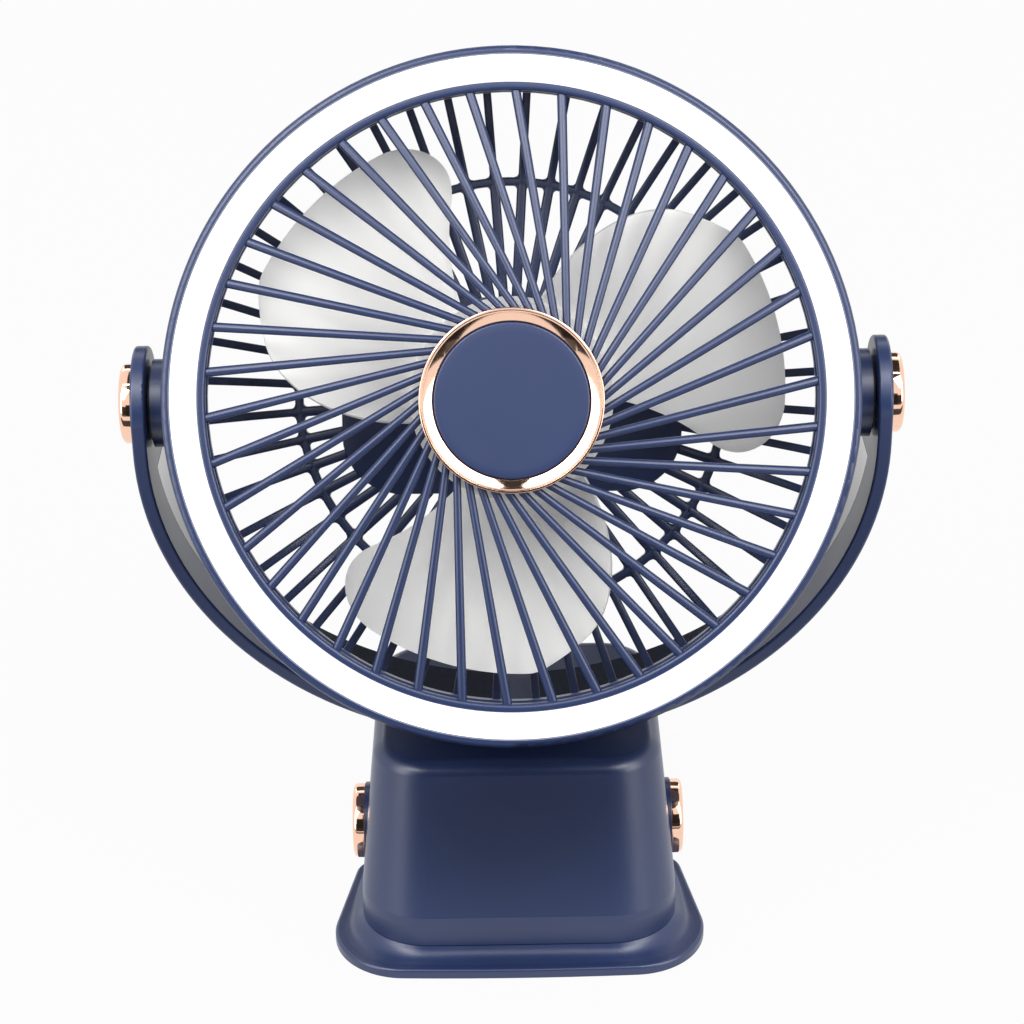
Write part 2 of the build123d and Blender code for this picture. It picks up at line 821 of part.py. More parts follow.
brush_inner = commutator_radius + body_gap
brush_outer = motor_inner_radius - seat_gap
brush_middle = (brush_inner + brush_outer) / 2
with BuildPart() as motor_brushes:
    with BuildSketch(head_plane.offset(motor_end_thickness - motor_back)):
        with Locations((0, brush_middle), (0, -brush_middle)):
            Rectangle(brush_width, brush_outer - brush_inner)
    extrude(amount=commutator_front - commutator_length / 2 - motor_end_thickness + motor_back)
save(motor_brushes, "motor_brushes")

with BuildPart() as armature:
    with BuildSketch(head_plane.offset(armature_front)):
        Circle(armature_radius)
        with PolarLocations(armature_radius - armature_slot_depth / 2, armature_pole_count):
            Rectangle(armature_slot_depth + cut_overrun, armature_slot_width, mode=Mode.SUBTRACT)
        Circle(shaft_radius + fit_gap, mode=Mode.SUBTRACT)
    extrude(amount=-armature_length)
save(armature, "armature")

with BuildPart() as commutator:
    with BuildSketch(head_plane.offset(commutator_front)):
        Circle(commutator_radius)
        Circle(shaft_radius + fit_gap, mode=Mode.SUBTRACT)
    extrude(amount=-commutator_length)
save(commutator, "commutator")

with BuildPart() as motor_shaft:
    with BuildSketch(head_plane.offset(fit_gap - motor_back)):
        Circle(shaft_radius)
    extrude(amount=motor_back + motor_front + shaft_proud)
save(motor_shaft, "motor_shaft")


def blade_points(shares):
    """The points of a table of shares of the tip radius and clock angles."""
    return [clock_point(impeller_tip_radius * share, angle) for share, angle in shares]


# Impeller: a pitched and cambered sheet, cut to the blade's outline
blade_outward = head_direction(blade_middle_angle)
blade_across = head_direction(blade_middle_angle + 90)
with BuildPart() as blade:
    for distance, slope_share in (
        (blade_root_distance, blade_root_slope_share),
        (impeller_tip_radius + cut_overrun, blade_tip_slope_share),
    ):
        blade_plane = Plane(
            origin=pivot + blade_outward * distance, x_dir=blade_across, z_dir=-blade_outward
        )
        edge_rise = blade_span * slope_share
        half = blade_thickness / 2
        with BuildSketch(blade_plane):
            with BuildLine():
                ThreePointArc(
                    (-blade_span, edge_rise + half),
                    (0, blade_camber + half),
                    (blade_span, half - edge_rise),
                )
                Line((blade_span, half - edge_rise), (blade_span, -half - edge_rise))
                ThreePointArc(
                    (blade_span, -half - edge_rise),
                    (0, blade_camber - half),
                    (-blade_span, edge_rise - half),
                )
                Line((-blade_span, edge_rise - half), (-blade_span, edge_rise + half))
            make_face()
    loft(ruled=True)
    with BuildSketch(head_plane):
        with BuildLine():
            leading = Spline(blade_points(leading_edge_shares))
            ThreePointArc(blade_points(blade_tip_shares))
            trailing = Spline(blade_points(trailing_edge_shares))
            Line(trailing @ 1, leading @ 0)
        make_face()
    extrude(amount=blade_span, both=True, mode=Mode.INTERSECT)

rotor_hub_rear = rotor_hub_depth - rotor_hub_front
with BuildPart() as fan_blade:
    with BuildSketch(head_plane.offset(-rotor_hub_rear)):
        Circle(rotor_hub_radius)
    extrude(amount=rotor_hub_depth)
    fillet(fan_blade.faces().sort_by(head_axis)[-1].edges(), rotor_hub_round)
    for k in range(blade_count):
        add(blade.part.rotate(head_axis, 360 * k / blade_count))
    with BuildSketch(head_plane.offset(-rotor_hub_rear)):
        Circle(rotor_hub_radius - rotor_hub_wall)
    extrude(amount=rotor_hub_depth - rotor_hub_wall, mode=Mode.SUBTRACT)
    with BuildSketch(head_plane.offset(rotor_hub_front - rotor_hub_wall)):
        Circle(rotor_boss_radius)
    extrude(amount=-rotor_boss_length)
    with BuildSketch(head_plane):
        Circle(shaft_radius + fit_gap)
    extrude(amount=motor_front + shaft_proud + fit_gap, mode=Mode.SUBTRACT)
save(fan_blade, "fan_blade")

# Yoke: a U-shaped strip with round arm ends, a boss and a spigot for the swivel
strip_middle = (yoke_inner_half + yoke_outer_half) / 2
rabbet_plane = yoke_plane.offset(yoke_seam)
rabbet_depth = yoke_seam + yoke_width / 2
with BuildPart() as yoke_frame:
    with BuildSketch(yoke_plane):
        with Locations((0, -yoke_shoulder)):
            Ellipse(yoke_outer_half, yoke_outer_drop)
            Ellipse(yoke_inner_half, yoke_inner_drop, mode=Mode.SUBTRACT)
            Rectangle(
                2 * (yoke_outer_half + cut_overrun),
                yoke_outer_drop + cut_overrun,
                align=(Align.CENTER, Align.MAX),
                mode=Mode.INTERSECT,
            )
        with Locations((-strip_middle, -yoke_shoulder), (strip_middle, -yoke_shoulder)):
            Rectangle(yoke_wall, yoke_shoulder + yoke_width / 2, align=(Align.CENTER, Align.MIN))
    extrude(amount=yoke_width / 2, both=True)
    with BuildSketch(side_plane(1, pivot_height)):
        Circle(yoke_width / 2)
        Rectangle(yoke_width, pivot_height, align=(Align.CENTER, Align.MAX))
    extrude(amount=yoke_outer_half + cut_overrun, both=True, mode=Mode.INTERSECT)
    fillet(yoke_frame.faces().filter_by(Axis.Y).edges(), yoke_edge_round)
    with BuildSketch(rabbet_plane):
        with Locations((0, -yoke_shoulder)):
            Ellipse(yoke_inner_half + yoke_cover_thickness, yoke_inner_drop + yoke_cover_thickness)
            Ellipse(yoke_inner_half - yoke_wall, yoke_inner_drop - yoke_wall, mode=Mode.SUBTRACT)
        with Locations((0, -yoke_cover_drop)):
            Rectangle(
                2 * (yoke_outer_half + cut_overrun),
                yoke_outer_drop + cut_overrun,
                align=(Align.CENTER, Align.MAX),
                mode=Mode.INTERSECT,
            )
    extrude(amount=-(rabbet_depth + cut_overrun), mode=Mode.SUBTRACT)
    with BuildSketch(Plane.XY.offset(swivel_boss_bottom)):
        Circle(swivel_boss_radius)
    extrude(
        amount=yoke_underside
        + (yoke_wall - yoke_cover_thickness) * swivel_boss_root_share
        - swivel_boss_bottom
    )
    with BuildSketch(Plane.XY.offset(swivel_boss_bottom)):
        Circle(swivel_spigot_radius)
    extrude(amount=swivel_spigot_end - swivel_boss_bottom)
    with BuildSketch(Plane.XY.offset(swivel_spigot_end)):
        Circle(swivel_screw_radius + fit_gap)
    extrude(amount=swivel_screw_bite, mode=Mode.SUBTRACT)
    for name, side in sides:
        with BuildSketch(side_plane(side, pivot_height).offset(yoke_outer_half + cut_overrun)):
            Circle(pivot_screw_radius + bearing_gap)
        extrude(amount=-(yoke_wall + 2 * cut_overrun), mode=Mode.SUBTRACT)
save(yoke_frame, "yoke_frame")

# Inner covers of the yoke, one on each side of the bare stretch at its foot
for name, side in sides:
    with BuildPart() as yoke_cover:
        with BuildSketch(rabbet_plane.offset(-seat_gap)):
            with Locations((0, -yoke_shoulder)):
                Ellipse(
                    yoke_inner_half + yoke_cover_thickness - seat_gap,
                    yoke_inner_drop + yoke_cover_thickness - seat_gap,
                )
                Ellipse(yoke_inner_half, yoke_inner_drop, mode=Mode.SUBTRACT)
            with Locations((side * yoke_cover_gap / 2, -yoke_cover_drop - seat_gap)):
                Rectangle(
                    yoke_outer_half,
                    yoke_outer_drop + cut_overrun,
                    align=(Align.MIN if side > 0 else Align.MAX, Align.MAX),
                    mode=Mode.INTERSECT,
                )
        extrude(amount=seat_gap - rabbet_depth)
    save(yoke_cover, f"yoke_cover_{name}")

# Tilt pivots
with BuildPart() as pivot_washers:
    for name, side in sides:
        with BuildSketch(side_plane(side, pivot_height).offset(pivot_boss_face)):
            Circle(pivot_washer_radius)
            Circle(pivot_screw_radius + fit_gap, mode=Mode.SUBTRACT)
        extrude(amount=pivot_washer_thickness)
save(pivot_washers, "pivot_washers")

pivot_screw_seat = yoke_outer_half + turning_gap
with BuildPart() as pivot_screws:
    for name, side in sides:
        with BuildSketch(side_plane(side, pivot_height).offset(pivot_screw_seat)):
            Circle(pivot_screw_head_radius)
        extrude(amount=pivot_screw_head_height)
        with BuildSketch(side_plane(side, pivot_height).offset(pivot_screw_seat)):
            Circle(pivot_screw_radius)
        extrude(amount=pivot_boss_face - pivot_screw_bite + seat_gap - pivot_screw_seat)
save(pivot_screws, "pivot_screws")

for name, side in sides:
    with BuildPart() as pivot_knob:
        with BuildSketch(side_plane(side, pivot_height).offset(yoke_outer_half)):
            Circle(pivot_knob_radius)
        extrude(amount=pivot_knob_height)
        fillet(pivot_knob.faces().sort_by(Axis((0, 0, 0), (side, 0, 0)))[-1].edges(), knob_round)
        with BuildSketch(side_plane(side, pivot_height).offset(yoke_outer_half)):
            Circle(pivot_screw_head_radius + body_gap)
        extrude(amount=pivot_screw_head_height + turning_gap + body_gap, mode=Mode.SUBTRACT)
    save(pivot_knob, f"pivot_knob_{name}")

# Swivel
with BuildPart() as swivel_ring:
    with BuildSketch(Plane.XY.offset(swivel_ring_bottom)):
        Circle(swivel_boss_radius)
        Circle(swivel_spigot_radius + seat_gap, mode=Mode.SUBTRACT)
    extrude(amount=swivel_ring_thickness)
save(swivel_ring, "swivel_ring")

with BuildPart() as swivel_washer:
    with BuildSketch(Plane.XY.offset(swivel_spigot_end)):
        Circle(swivel_washer_radius)
        Circle(swivel_screw_radius + fit_gap, mode=Mode.SUBTRACT)
    extrude(amount=-swivel_washer_thickness)
save(swivel_washer, "swivel_washer")

with BuildPart() as swivel_screw:
    with BuildSketch(Plane.XY.offset(swivel_spigot_end - swivel_washer_thickness)):
        Circle(swivel_screw_head_radius)
    extrude(amount=-swivel_screw_head_height)
    with BuildSketch(Plane.XY.offset(swivel_spigot_end - swivel_washer_thickness)):
        Circle(swivel_screw_radius)
    extrude(amount=swivel_washer_thickness + swivel_screw_bite - seat_gap)
save(swivel_screw, "swivel_screw")


def column_outline(share, inset):
    """The column's outline at a share of the way up its lean, drawn in by an inset on every side."""
    foot_depth = column_foot_front + column_foot_rear
    top_depth = column_top_front + column_top_rear
    width = column_foot_width + (column_top_width - column_foot_width) * share
    depth = foot_depth + (top_depth - foot_depth) * share
    corner = column_foot_round + (column_top_round - column_foot_round) * share
    middle = column_foot_middle + (column_top_middle - column_foot_middle) * share
    with BuildSketch() as outline:
        with Locations((0, middle)):
            RectangleRounded(width - 2 * inset, depth - 2 * inset, corner - inset)
    return outline.sketch


def column_body(inset):
    """The column's outside, drawn in by an inset: an upright lip, a softened edge and the lean above."""
    softening_share = lip_softening / (column_top - lip_top)
    with BuildPart() as body:
        for level, share in (
            (lip_top - lip_softening, 0),
            (lip_top + lip_softening, softening_share),
            (column_top, 1),
        ):
            with BuildSketch(Plane.XY.offset(level)):
                add(column_outline(share, inset))
        loft(ruled=True)
        with BuildSketch(Plane.XY.offset(jaw_level)):
            add(column_outline(0, inset))
        extrude(amount=lip_height - lip_softening)
    return body.part


# The column's underside behind the axle: an arc about the axle, then a slope that lets the clip open
wedge_angle = clip_open_angle + clip_spare_angle
wedge = radians(wedge_angle)
jaw_drop = clip_axle_height - jaw_level
slope_start = (jaw_drop * sin(wedge), -jaw_drop * cos(wedge))
far_rear = column_foot_rear + cut_overrun


def slope_point(depth, lift):
    """A point on the sloping underside at a depth behind the axle, lifted square to the slope."""
    height = slope_start[1] + (depth - slope_start[0]) * tan(wedge)
    return (depth, height + lift / cos(wedge))


front_cover_bottom = jaw_level + jaw_pad_thickness
front_towers_at = ((front_tower_x, front_tower_y), (-front_tower_x, front_tower_y))
rear_tower_local = slope_point(rear_tower_y, 0)
rear_tower_plane = Plane(
    origin=(0, rear_tower_local[0], clip_axle_height + rear_tower_local[1]),
    x_dir=(1, 0, 0),
    z_dir=(0, -sin(wedge), cos(wedge)),
)
rear_towers_at = ((rear_tower_x, 0), (-rear_tower_x, 0))
spring_rib_bottom = clip_axle_height + spring_leg_rise + spring_wire_radius + body_gap

# The hollow of the column, less the screw towers and the rib that the spring pushes on
with BuildPart() as column_hollow:
    add(column_body(column_wall))
    with BuildSketch(Plane.XY.offset(jaw_level)):
        Rectangle(2 * column_foot_width, 2 * (column_foot_front + column_foot_rear))
    extrude(amount=column_top - column_wall - jaw_level, mode=Mode.INTERSECT)
    with BuildSketch(Plane.XY.offset(front_cover_bottom + cover_thickness)):
        with Locations(*front_towers_at):
            Circle(tower_radius)
    extrude(amount=column_top, mode=Mode.SUBTRACT)
    with BuildSketch(rear_tower_plane.offset(cover_thickness)):
        with Locations(*rear_towers_at):
            Circle(tower_radius)
    extrude(amount=column_top, mode=Mode.SUBTRACT)
    with BuildSketch(Plane.XY.offset(spring_rib_bottom)):
        with Locations((0, spring_leg_reach)):
            Rectangle(spring_rib_width, spring_rib_depth)
    extrude(amount=column_top, mode=Mode.SUBTRACT)

with BuildPart() as column_shell:
    add(column_body(0))
    fillet(column_shell.faces().sort_by(Axis.Z)[-1].edges(), column_edge_round)
    add(column_hollow.part, mode=Mode.SUBTRACT)
    with BuildSketch(clip_plane):
        with BuildLine():
            CenterArc((0, 0), jaw_drop, -90, wedge_angle)
            Polyline(
                slope_start,
                slope_point(far_rear, 0),
                (far_rear, -clip_axle_height),
                (0, -clip_axle_height),
                (0, -jaw_drop),
            )
        make_face()
    extrude(amount=column_foot_width, both=True, mode=Mode.SUBTRACT)
    for name, side in sides:
        with BuildSketch(side_plane(side, clip_axle_height).offset(clip_boss_face)):
            Circle(clip_boss_radius)
        extrude(amount=-clip_boss_thickness)
        with BuildSketch(side_plane(side, clip_axle_height).offset(clip_boss_face)):
            Circle(clip_boss_radius)
        extrude(amount=column_foot_width - clip_boss_face, mode=Mode.SUBTRACT)
    with BuildSketch(clip_plane):
        Circle(axle_radius + fit_gap)
    extrude(amount=column_foot_width, both=True, mode=Mode.SUBTRACT)
    with BuildSketch(Plane.XY.offset(column_top)):
        Circle(swivel_spigot_radius + bearing_gap)
    extrude(amount=-(column_wall + cut_overrun), mode=Mode.SUBTRACT)
    with BuildSketch(Plane.XY.offset(front_cover_bottom + cover_thickness)):
        with Locations(*front_towers_at):
            Circle(small_screw_radius + fit_gap)
    extrude(amount=column_screw_length, mode=Mode.SUBTRACT)
    with BuildSketch(rear_tower_plane.offset(cover_thickness)):
        with Locations(*rear_towers_at):
            Circle(small_screw_radius + fit_gap)
    extrude(amount=column_screw_length, mode=Mode.SUBTRACT)
save(column_shell, "column_shell")

# Covers that close the column's underside before and behind the spring well
with BuildPart() as column_front_cover:
    add(column_body(column_wall + seat_gap))
    with BuildSketch(Plane.XY.offset(front_cover_bottom)):
        with Locations((0, -front_cover_rear)):
            Rectangle(column_foot_width, column_foot_front, align=(Align.CENTER, Align.MAX))
    extrude(amount=cover_thickness, mode=Mode.INTERSECT)
    with BuildSketch(Plane.XY.offset(front_cover_bottom)):
        with Locations(*front_towers_at):
            Circle(small_screw_radius + fit_gap)
    extrude(amount=cover_thickness, mode=Mode.SUBTRACT)
    with BuildSketch(Plane.XY.offset(front_cover_bottom)):
        with Locations(*front_towers_at):
            Circle(small_screw_head_radius + fit_gap)
    extrude(amount=small_screw_head_height, mode=Mode.SUBTRACT)
save(column_front_cover, "column_front_cover")

with BuildPart() as column_rear_cover:
    add(column_body(column_wall + seat_gap))
    with BuildSketch(clip_plane):
        with BuildLine():
            Polyline(
                slope_point(rear_cover_start, 0),
                slope_point(far_rear, 0),
                slope_point(far_rear, cover_thickness),
                slope_point(rear_cover_start, cover_thickness),
                close=True,
            )
        make_face()
    extrude(amount=column_foot_width, both=True, mode=Mode.INTERSECT)
    with BuildSketch(rear_tower_plane):
        with Locations(*rear_towers_at):
            Circle(small_screw_radius + fit_gap)
    extrude(amount=cover_thickness, mode=Mode.SUBTRACT)
    with BuildSketch(rear_tower_plane):
        with Locations(*rear_towers_at):
            Circle(small_screw_head_radius + fit_gap)
    extrude(amount=small_screw_head_height, mode=Mode.SUBTRACT)
save(column_rear_cover, "column_rear_cover")

with BuildPart() as column_screws:
    for screw_plane, places in (
        (Plane.XY.offset(front_cover_bottom), front_towers_at),
        (rear_tower_plane, rear_towers_at),
    ):
        with BuildSketch(screw_plane):
            with Locations(*places):
                Circle(small_screw_head_radius)
        extrude(amount=small_screw_head_height)
        with BuildSketch(screw_plane):
            with Locations(*places):
                Circle(small_screw_radius)
        extrude(amount=column_screw_length)
save(column_screws, "column_screws")

# Jaw pads, grooved where they grip
jaw_pad_depth = jaw_pad_front - jaw_pad_rear
jaw_pad_middle = -(jaw_pad_front + jaw_pad_rear) / 2
jaw_groove_step = jaw_pad_depth / (jaw_groove_count + 1)
for name, grip_level, grow in (
    ("upper_jaw_pad", jaw_level, jaw_pad_thickness),
    ("lower_jaw_pad", pedestal_top, -jaw_pad_thickness),
):
    with BuildPart() as jaw_pad:
        with BuildSketch(Plane.XY.offset(grip_level)):
            with Locations((0, jaw_pad_middle)):
                RectangleRounded(jaw_pad_width, jaw_pad_depth, jaw_pad_round)
        extrude(amount=grow)
        with BuildSketch(Plane.XY.offset(grip_level)):
            with Locations((0, jaw_pad_middle)):
                with GridLocations(0, jaw_groove_step, 1, jaw_groove_count):
                    Rectangle(jaw_pad_width - 2 * jaw_groove_side_margin, jaw_groove_width)
        extrude(amount=grow * jaw_groove_depth_share, mode=Mode.SUBTRACT)
    save(jaw_pad, name)


def plate_outline(front, bow, rear, front_width, rear_width, front_round, rear_round):
    """A plate with a bowed front edge, straight sides and rounded corners."""
    with BuildSketch() as outline:
        with BuildLine():
            left, right = (-front_width / 2, -front), (front_width / 2, -front)
            ThreePointArc(left, (0, -front - bow), right)
            Polyline(right, (rear_width / 2, rear), (-rear_width / 2, rear), left)
        make_face()
        fillet(outline.vertices().group_by(Axis.Y)[0], front_round)
        fillet(outline.vertices().group_by(Axis.Y)[-1], rear_round)
    return outline.sketch


rim_sizes = (
    base_front - base_front_bow,
    base_front_bow,
    base_rear,
    base_front_width,
    base_rear_width,
    base_front_round,
    base_rear_round,
)
flare_foot_sizes = (
    base_front - base_front_bow - base_flare_inset,
    base_front_bow,
    base_rear - base_flare_inset,
    base_front_width - 2 * base_flare_inset,
    base_rear_width - 2 * base_flare_inset,
    base_front_round - base_flare_inset,
    base_rear_round - base_flare_inset,
)
flare_top_sizes = (
    column_foot_front - pedestal_front_bow,
    pedestal_front_bow,
    pedestal_rear,
    column_foot_width,
    column_foot_width,
    column_foot_round,
    pedestal_rear_round,
)
flare_middle_sizes = [
    foot + (top - foot) * base_flare_share for foot, top in zip(flare_foot_sizes, flare_top_sizes)
]
rim_outline = plate_outline(*rim_sizes)
flare_middle = base_rim_top + (pedestal_top - base_rim_top) * base_flare_height_share
flare_outlines = (
    (base_rim_top, plate_outline(*flare_foot_sizes)),
    (flare_middle, plate_outline(*flare_middle_sizes)),
    (pedestal_top, plate_outline(*flare_top_sizes)),
)

# The hollow flare from the base's rim up to the column's foot, rooted in the rim
with BuildPart() as base_flare:
    for level, outline in flare_outlines:
        with BuildSketch(Plane.XY.offset(level)):
            add(outline)
    loft()
    extrude(base_flare.faces().sort_by(Axis.Z)[0], amount=base_flare_root)

# Base plate: its rim and flare, a tail to press on and ears for the axle
ear_middle = ear_outer - ear_thickness / 2
ear_drop = clip_axle_height - base_rim_top
with BuildPart() as base_plate:
    with BuildSketch(Plane.XY.offset(base_lift)):
        add(rim_outline)
    extrude(amount=base_rim_top - base_lift)
    fillet(base_plate.faces().sort_by(Axis.Z)[-1].edges(), base_rim_round)
    add(base_flare.part)
    with BuildSketch(Plane.XY.offset(base_lift)):
        with Locations((0, tail_rear)):
            RectangleRounded(
                tail_width, tail_rear + base_rear, tail_round, align=(Align.CENTER, Align.MAX)
            )
    extrude(amount=tail_thickness)
    with BuildSketch(clip_plane.offset(-ear_middle), clip_plane.offset(ear_middle)):
        Circle(ear_radius)
        with BuildLine():
            Polyline(
                (-ear_radius, 0),
                (ear_radius, 0),
                (ear_foot / 2, -ear_drop),
                (-ear_foot / 2, -ear_drop),
                close=True,
            )
        make_face()
    extrude(amount=ear_thickness / 2, both=True)
    with BuildSketch(clip_plane):
        Circle(axle_radius + bearing_gap)
    extrude(amount=column_foot_width, both=True, mode=Mode.SUBTRACT)
    with BuildSketch(Plane.XY.offset(pedestal_top)):
        with Locations((0, jaw_pad_middle)):
            RectangleRounded(
                jaw_pad_width + 2 * seat_gap, jaw_pad_depth + 2 * seat_gap, jaw_pad_round + seat_gap
            )
    extrude(amount=-jaw_pad_thickness, mode=Mode.SUBTRACT)
    with BuildSketch():
        with Locations((0, (base_pad_rear - base_pad_front) / 2)):
            RectangleRounded(
                base_pad_width + 2 * seat_gap,
                base_pad_front + base_pad_rear + 2 * seat_gap,
                base_pad_round + seat_gap,
            )
    extrude(amount=base_pad_thickness, mode=Mode.SUBTRACT)
save(base_plate, "base_plate")

with BuildPart() as base_pad:
    with BuildSketch():
        with Locations((0, (base_pad_rear - base_pad_front) / 2)):
            RectangleRounded(base_pad_width, base_pad_front + base_pad_rear, base_pad_round)
    extrude(amount=base_pad_thickness)
save(base_pad, "base_pad")

# Clip axle and its knobs
with BuildPart() as clip_axle:
    with BuildSketch(clip_plane):
        Circle(axle_radius)
    extrude(amount=clip_boss_face + axle_end, both=True)
save(clip_axle, "clip_axle")

for name, side in sides:
    with BuildPart() as clip_knob:
        with BuildSketch(side_plane(side, clip_axle_height).offset(clip_boss_face)):
            Circle(clip_knob_radius)
        extrude(amount=clip_knob_height)
        fillet(clip_knob.faces().sort_by(Axis((0, 0, 0), (side, 0, 0)))[-1].edges(), knob_round)
        with BuildSketch(side_plane(side, clip_axle_height).offset(clip_boss_face)):
            Circle(axle_radius + fit_gap)
        extrude(amount=clip_knob_bore_depth, mode=Mode.SUBTRACT)
    save(clip_knob, f"clip_knob_{name}")

# Torsion spring: a coil about the axle, with one leg on the tail and one under the column's rib
tail_top = base_lift + tail_thickness
lower_leg_rise = tail_top + body_gap + spring_wire_radius - clip_axle_height


def leg_angle(rise, swing_sign):
    """The angle on the coil where a straight leg to its end point leaves it."""
    length = sqrt(spring_leg_reach**2 + rise**2)
    return atan2(rise, spring_leg_reach) + swing_sign * acos(spring_coil_radius / length)


def leg_length(rise):
    """The length of that leg, seen along the axle."""
    return sqrt(spring_leg_reach**2 + rise**2 - spring_coil_radius**2)


coil_start = leg_angle(lower_leg_rise, -1)
coil_sweep = coil_start - leg_angle(spring_leg_rise, 1) + 2 * pi * (spring_turns + 1)
coil_length = spring_pitch * coil_sweep / (2 * pi)


def coil_point(share):
    """The wire's middle at a share of the coil."""
    angle = coil_start - coil_sweep * share
    return Vector(
        coil_length * (share - 1 / 2),
        spring_coil_radius * cos(angle),
        clip_axle_height + spring_coil_radius * sin(angle),
    )


def coil_way(share):
    """The direction in which the wire runs at a share of the coil."""
    angle = coil_start - coil_sweep * share
    turn = spring_coil_radius * coil_sweep
    return Vector(coil_length, turn * sin(angle), -turn * cos(angle)).normalized()


def biarc_joint(start, start_way, end, end_way):
    """The point and the direction where two arcs meet that are tangent to both ends."""
    chord = end - start
    bend = 2 * (1 - start_way.dot(end_way))
    along = chord.dot(start_way + end_way)
    handle = (sqrt(along**2 + bend * chord.dot(chord)) - along) / bend
    first, second = start + start_way * handle, end - end_way * handle
    return (first + second) / 2, (second - first).normalized()


quarter_count = ceil(2 * coil_sweep / pi)
coil_shares = [k / quarter_count for k in range(quarter_count + 1)]
axial_stretch = sqrt(1 + (coil_length / (spring_coil_radius * coil_sweep)) ** 2)
lower_leg_end = coil_point(0) - coil_way(0) * leg_length(lower_leg_rise) * axial_stretch
upper_leg_end = coil_point(1) + coil_way(1) * leg_length(spring_leg_rise) * axial_stretch
with BuildPart() as clip_spring:
    with BuildLine() as spring_path:
        Line(lower_leg_end, coil_point(0))
        for here, there in zip(coil_shares, coil_shares[1:]):
            start, end = coil_point(here), coil_point(there)
            joint, joint_way = biarc_joint(start, coil_way(here), end, coil_way(there))
            TangentArc(start, joint, tangent=coil_way(here))
            TangentArc(joint, end, tangent=joint_way)
        Line(coil_point(1), upper_leg_end)
    with BuildSketch(Plane(origin=lower_leg_end, z_dir=coil_way(0))):
        Circle(spring_wire_radius)
    sweep(path=spring_path.wire())
save(clip_spring, "clip_spring")

coil_samples = [coil_point(k / (16 * quarter_count)) for k in range(16 * quarter_count + 1)]
least_gap = min(
    (coil_samples[i] - coil_samples[j]).length - 2 * spring_wire_radius
    for i in range(len(coil_samples))
    for j in range(i + 32, len(coil_samples))
)
print("least gap of the spring to itself, mm:", round(least_gap, 2))
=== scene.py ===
"""Looks of a clip-on fan with a ring light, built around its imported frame."""
import json
from math import acos, atan2, cos, pi, radians, sin, sqrt, tan

import bpy
from bpy.props import FloatProperty, FloatVectorProperty, IntProperty, PointerProperty
from mathutils import Matrix, Vector


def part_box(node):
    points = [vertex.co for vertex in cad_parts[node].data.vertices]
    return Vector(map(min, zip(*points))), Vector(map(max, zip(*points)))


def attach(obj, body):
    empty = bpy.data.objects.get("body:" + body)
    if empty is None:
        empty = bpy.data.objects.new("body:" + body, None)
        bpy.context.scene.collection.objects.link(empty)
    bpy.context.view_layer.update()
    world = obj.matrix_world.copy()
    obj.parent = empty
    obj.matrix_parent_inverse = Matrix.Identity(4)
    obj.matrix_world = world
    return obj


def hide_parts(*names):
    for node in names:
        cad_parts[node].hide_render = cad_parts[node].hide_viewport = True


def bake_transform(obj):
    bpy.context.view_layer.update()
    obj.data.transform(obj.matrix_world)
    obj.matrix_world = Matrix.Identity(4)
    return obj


bl_info = {
    "name": "Clip-on fan with a ring light",
    "version": (1, 0, 0),
    "blender": (4, 5, 0),
    "location": "View3D > Sidebar > Fan",
    "description": "Builds the fan's grilles, trim, impeller, finishes and studio around its frame",
    "category": "Object",
}

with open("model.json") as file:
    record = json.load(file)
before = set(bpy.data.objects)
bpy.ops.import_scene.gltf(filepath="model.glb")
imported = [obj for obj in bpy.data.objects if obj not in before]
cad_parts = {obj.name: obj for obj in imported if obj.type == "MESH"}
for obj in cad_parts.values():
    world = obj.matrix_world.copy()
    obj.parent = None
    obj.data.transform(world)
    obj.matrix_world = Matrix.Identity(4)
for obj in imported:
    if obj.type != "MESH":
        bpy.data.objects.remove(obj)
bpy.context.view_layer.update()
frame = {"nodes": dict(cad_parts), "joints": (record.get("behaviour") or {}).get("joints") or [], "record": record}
JOINTS = {joint["name"]: joint for joint in frame["joints"]}
SLOTS = {entry["node"]: entry["material_slot"] for entry in frame["record"]["subparts"]}
SLOT_COLOURS = {entry["slot"]: entry["base_color"][:3] for entry in frame["record"]["materials"]}
PIVOT = Vector(JOINTS["head_tilt"]["pos_m"])
FORWARD = Vector(JOINTS["fan_spin"]["axis"]).normalized()
ACROSS = Vector((1, 0, 0))
UPWARD = FORWARD.cross(ACROSS)
HEAD_PLACE = Matrix.Translation(PIVOT) @ Matrix((ACROSS, UPWARD, FORWARD)).transposed().to_4x4()
MM = 0.001
MERGE_GAP = 0.000002
ROUNDING_STEPS = 4
BAR_EDGE_STEPS = 3
CORE_RADIUS = 2


def length(name, millimetres, description):
    """A size in metres, given in millimetres, for a settings group."""
    return FloatProperty(
        name=name, description=description, default=millimetres * MM, unit="LENGTH", precision=5
    )


def colour(name, value, description):
    """A colour for a settings group."""
    return FloatVectorProperty(
        name=name, description=description, subtype="COLOR", size=3, min=0, max=1, default=value
    )


def bearing(name, degrees, description):
    """An angle, given in degrees, for a settings group."""
    return FloatProperty(name=name, description=description, default=radians(degrees), subtype="ANGLE")


def power(name, watts, description):
    """A lamp's power for a settings group."""
    return FloatProperty(name=name, description=description, default=watts, subtype="POWER")


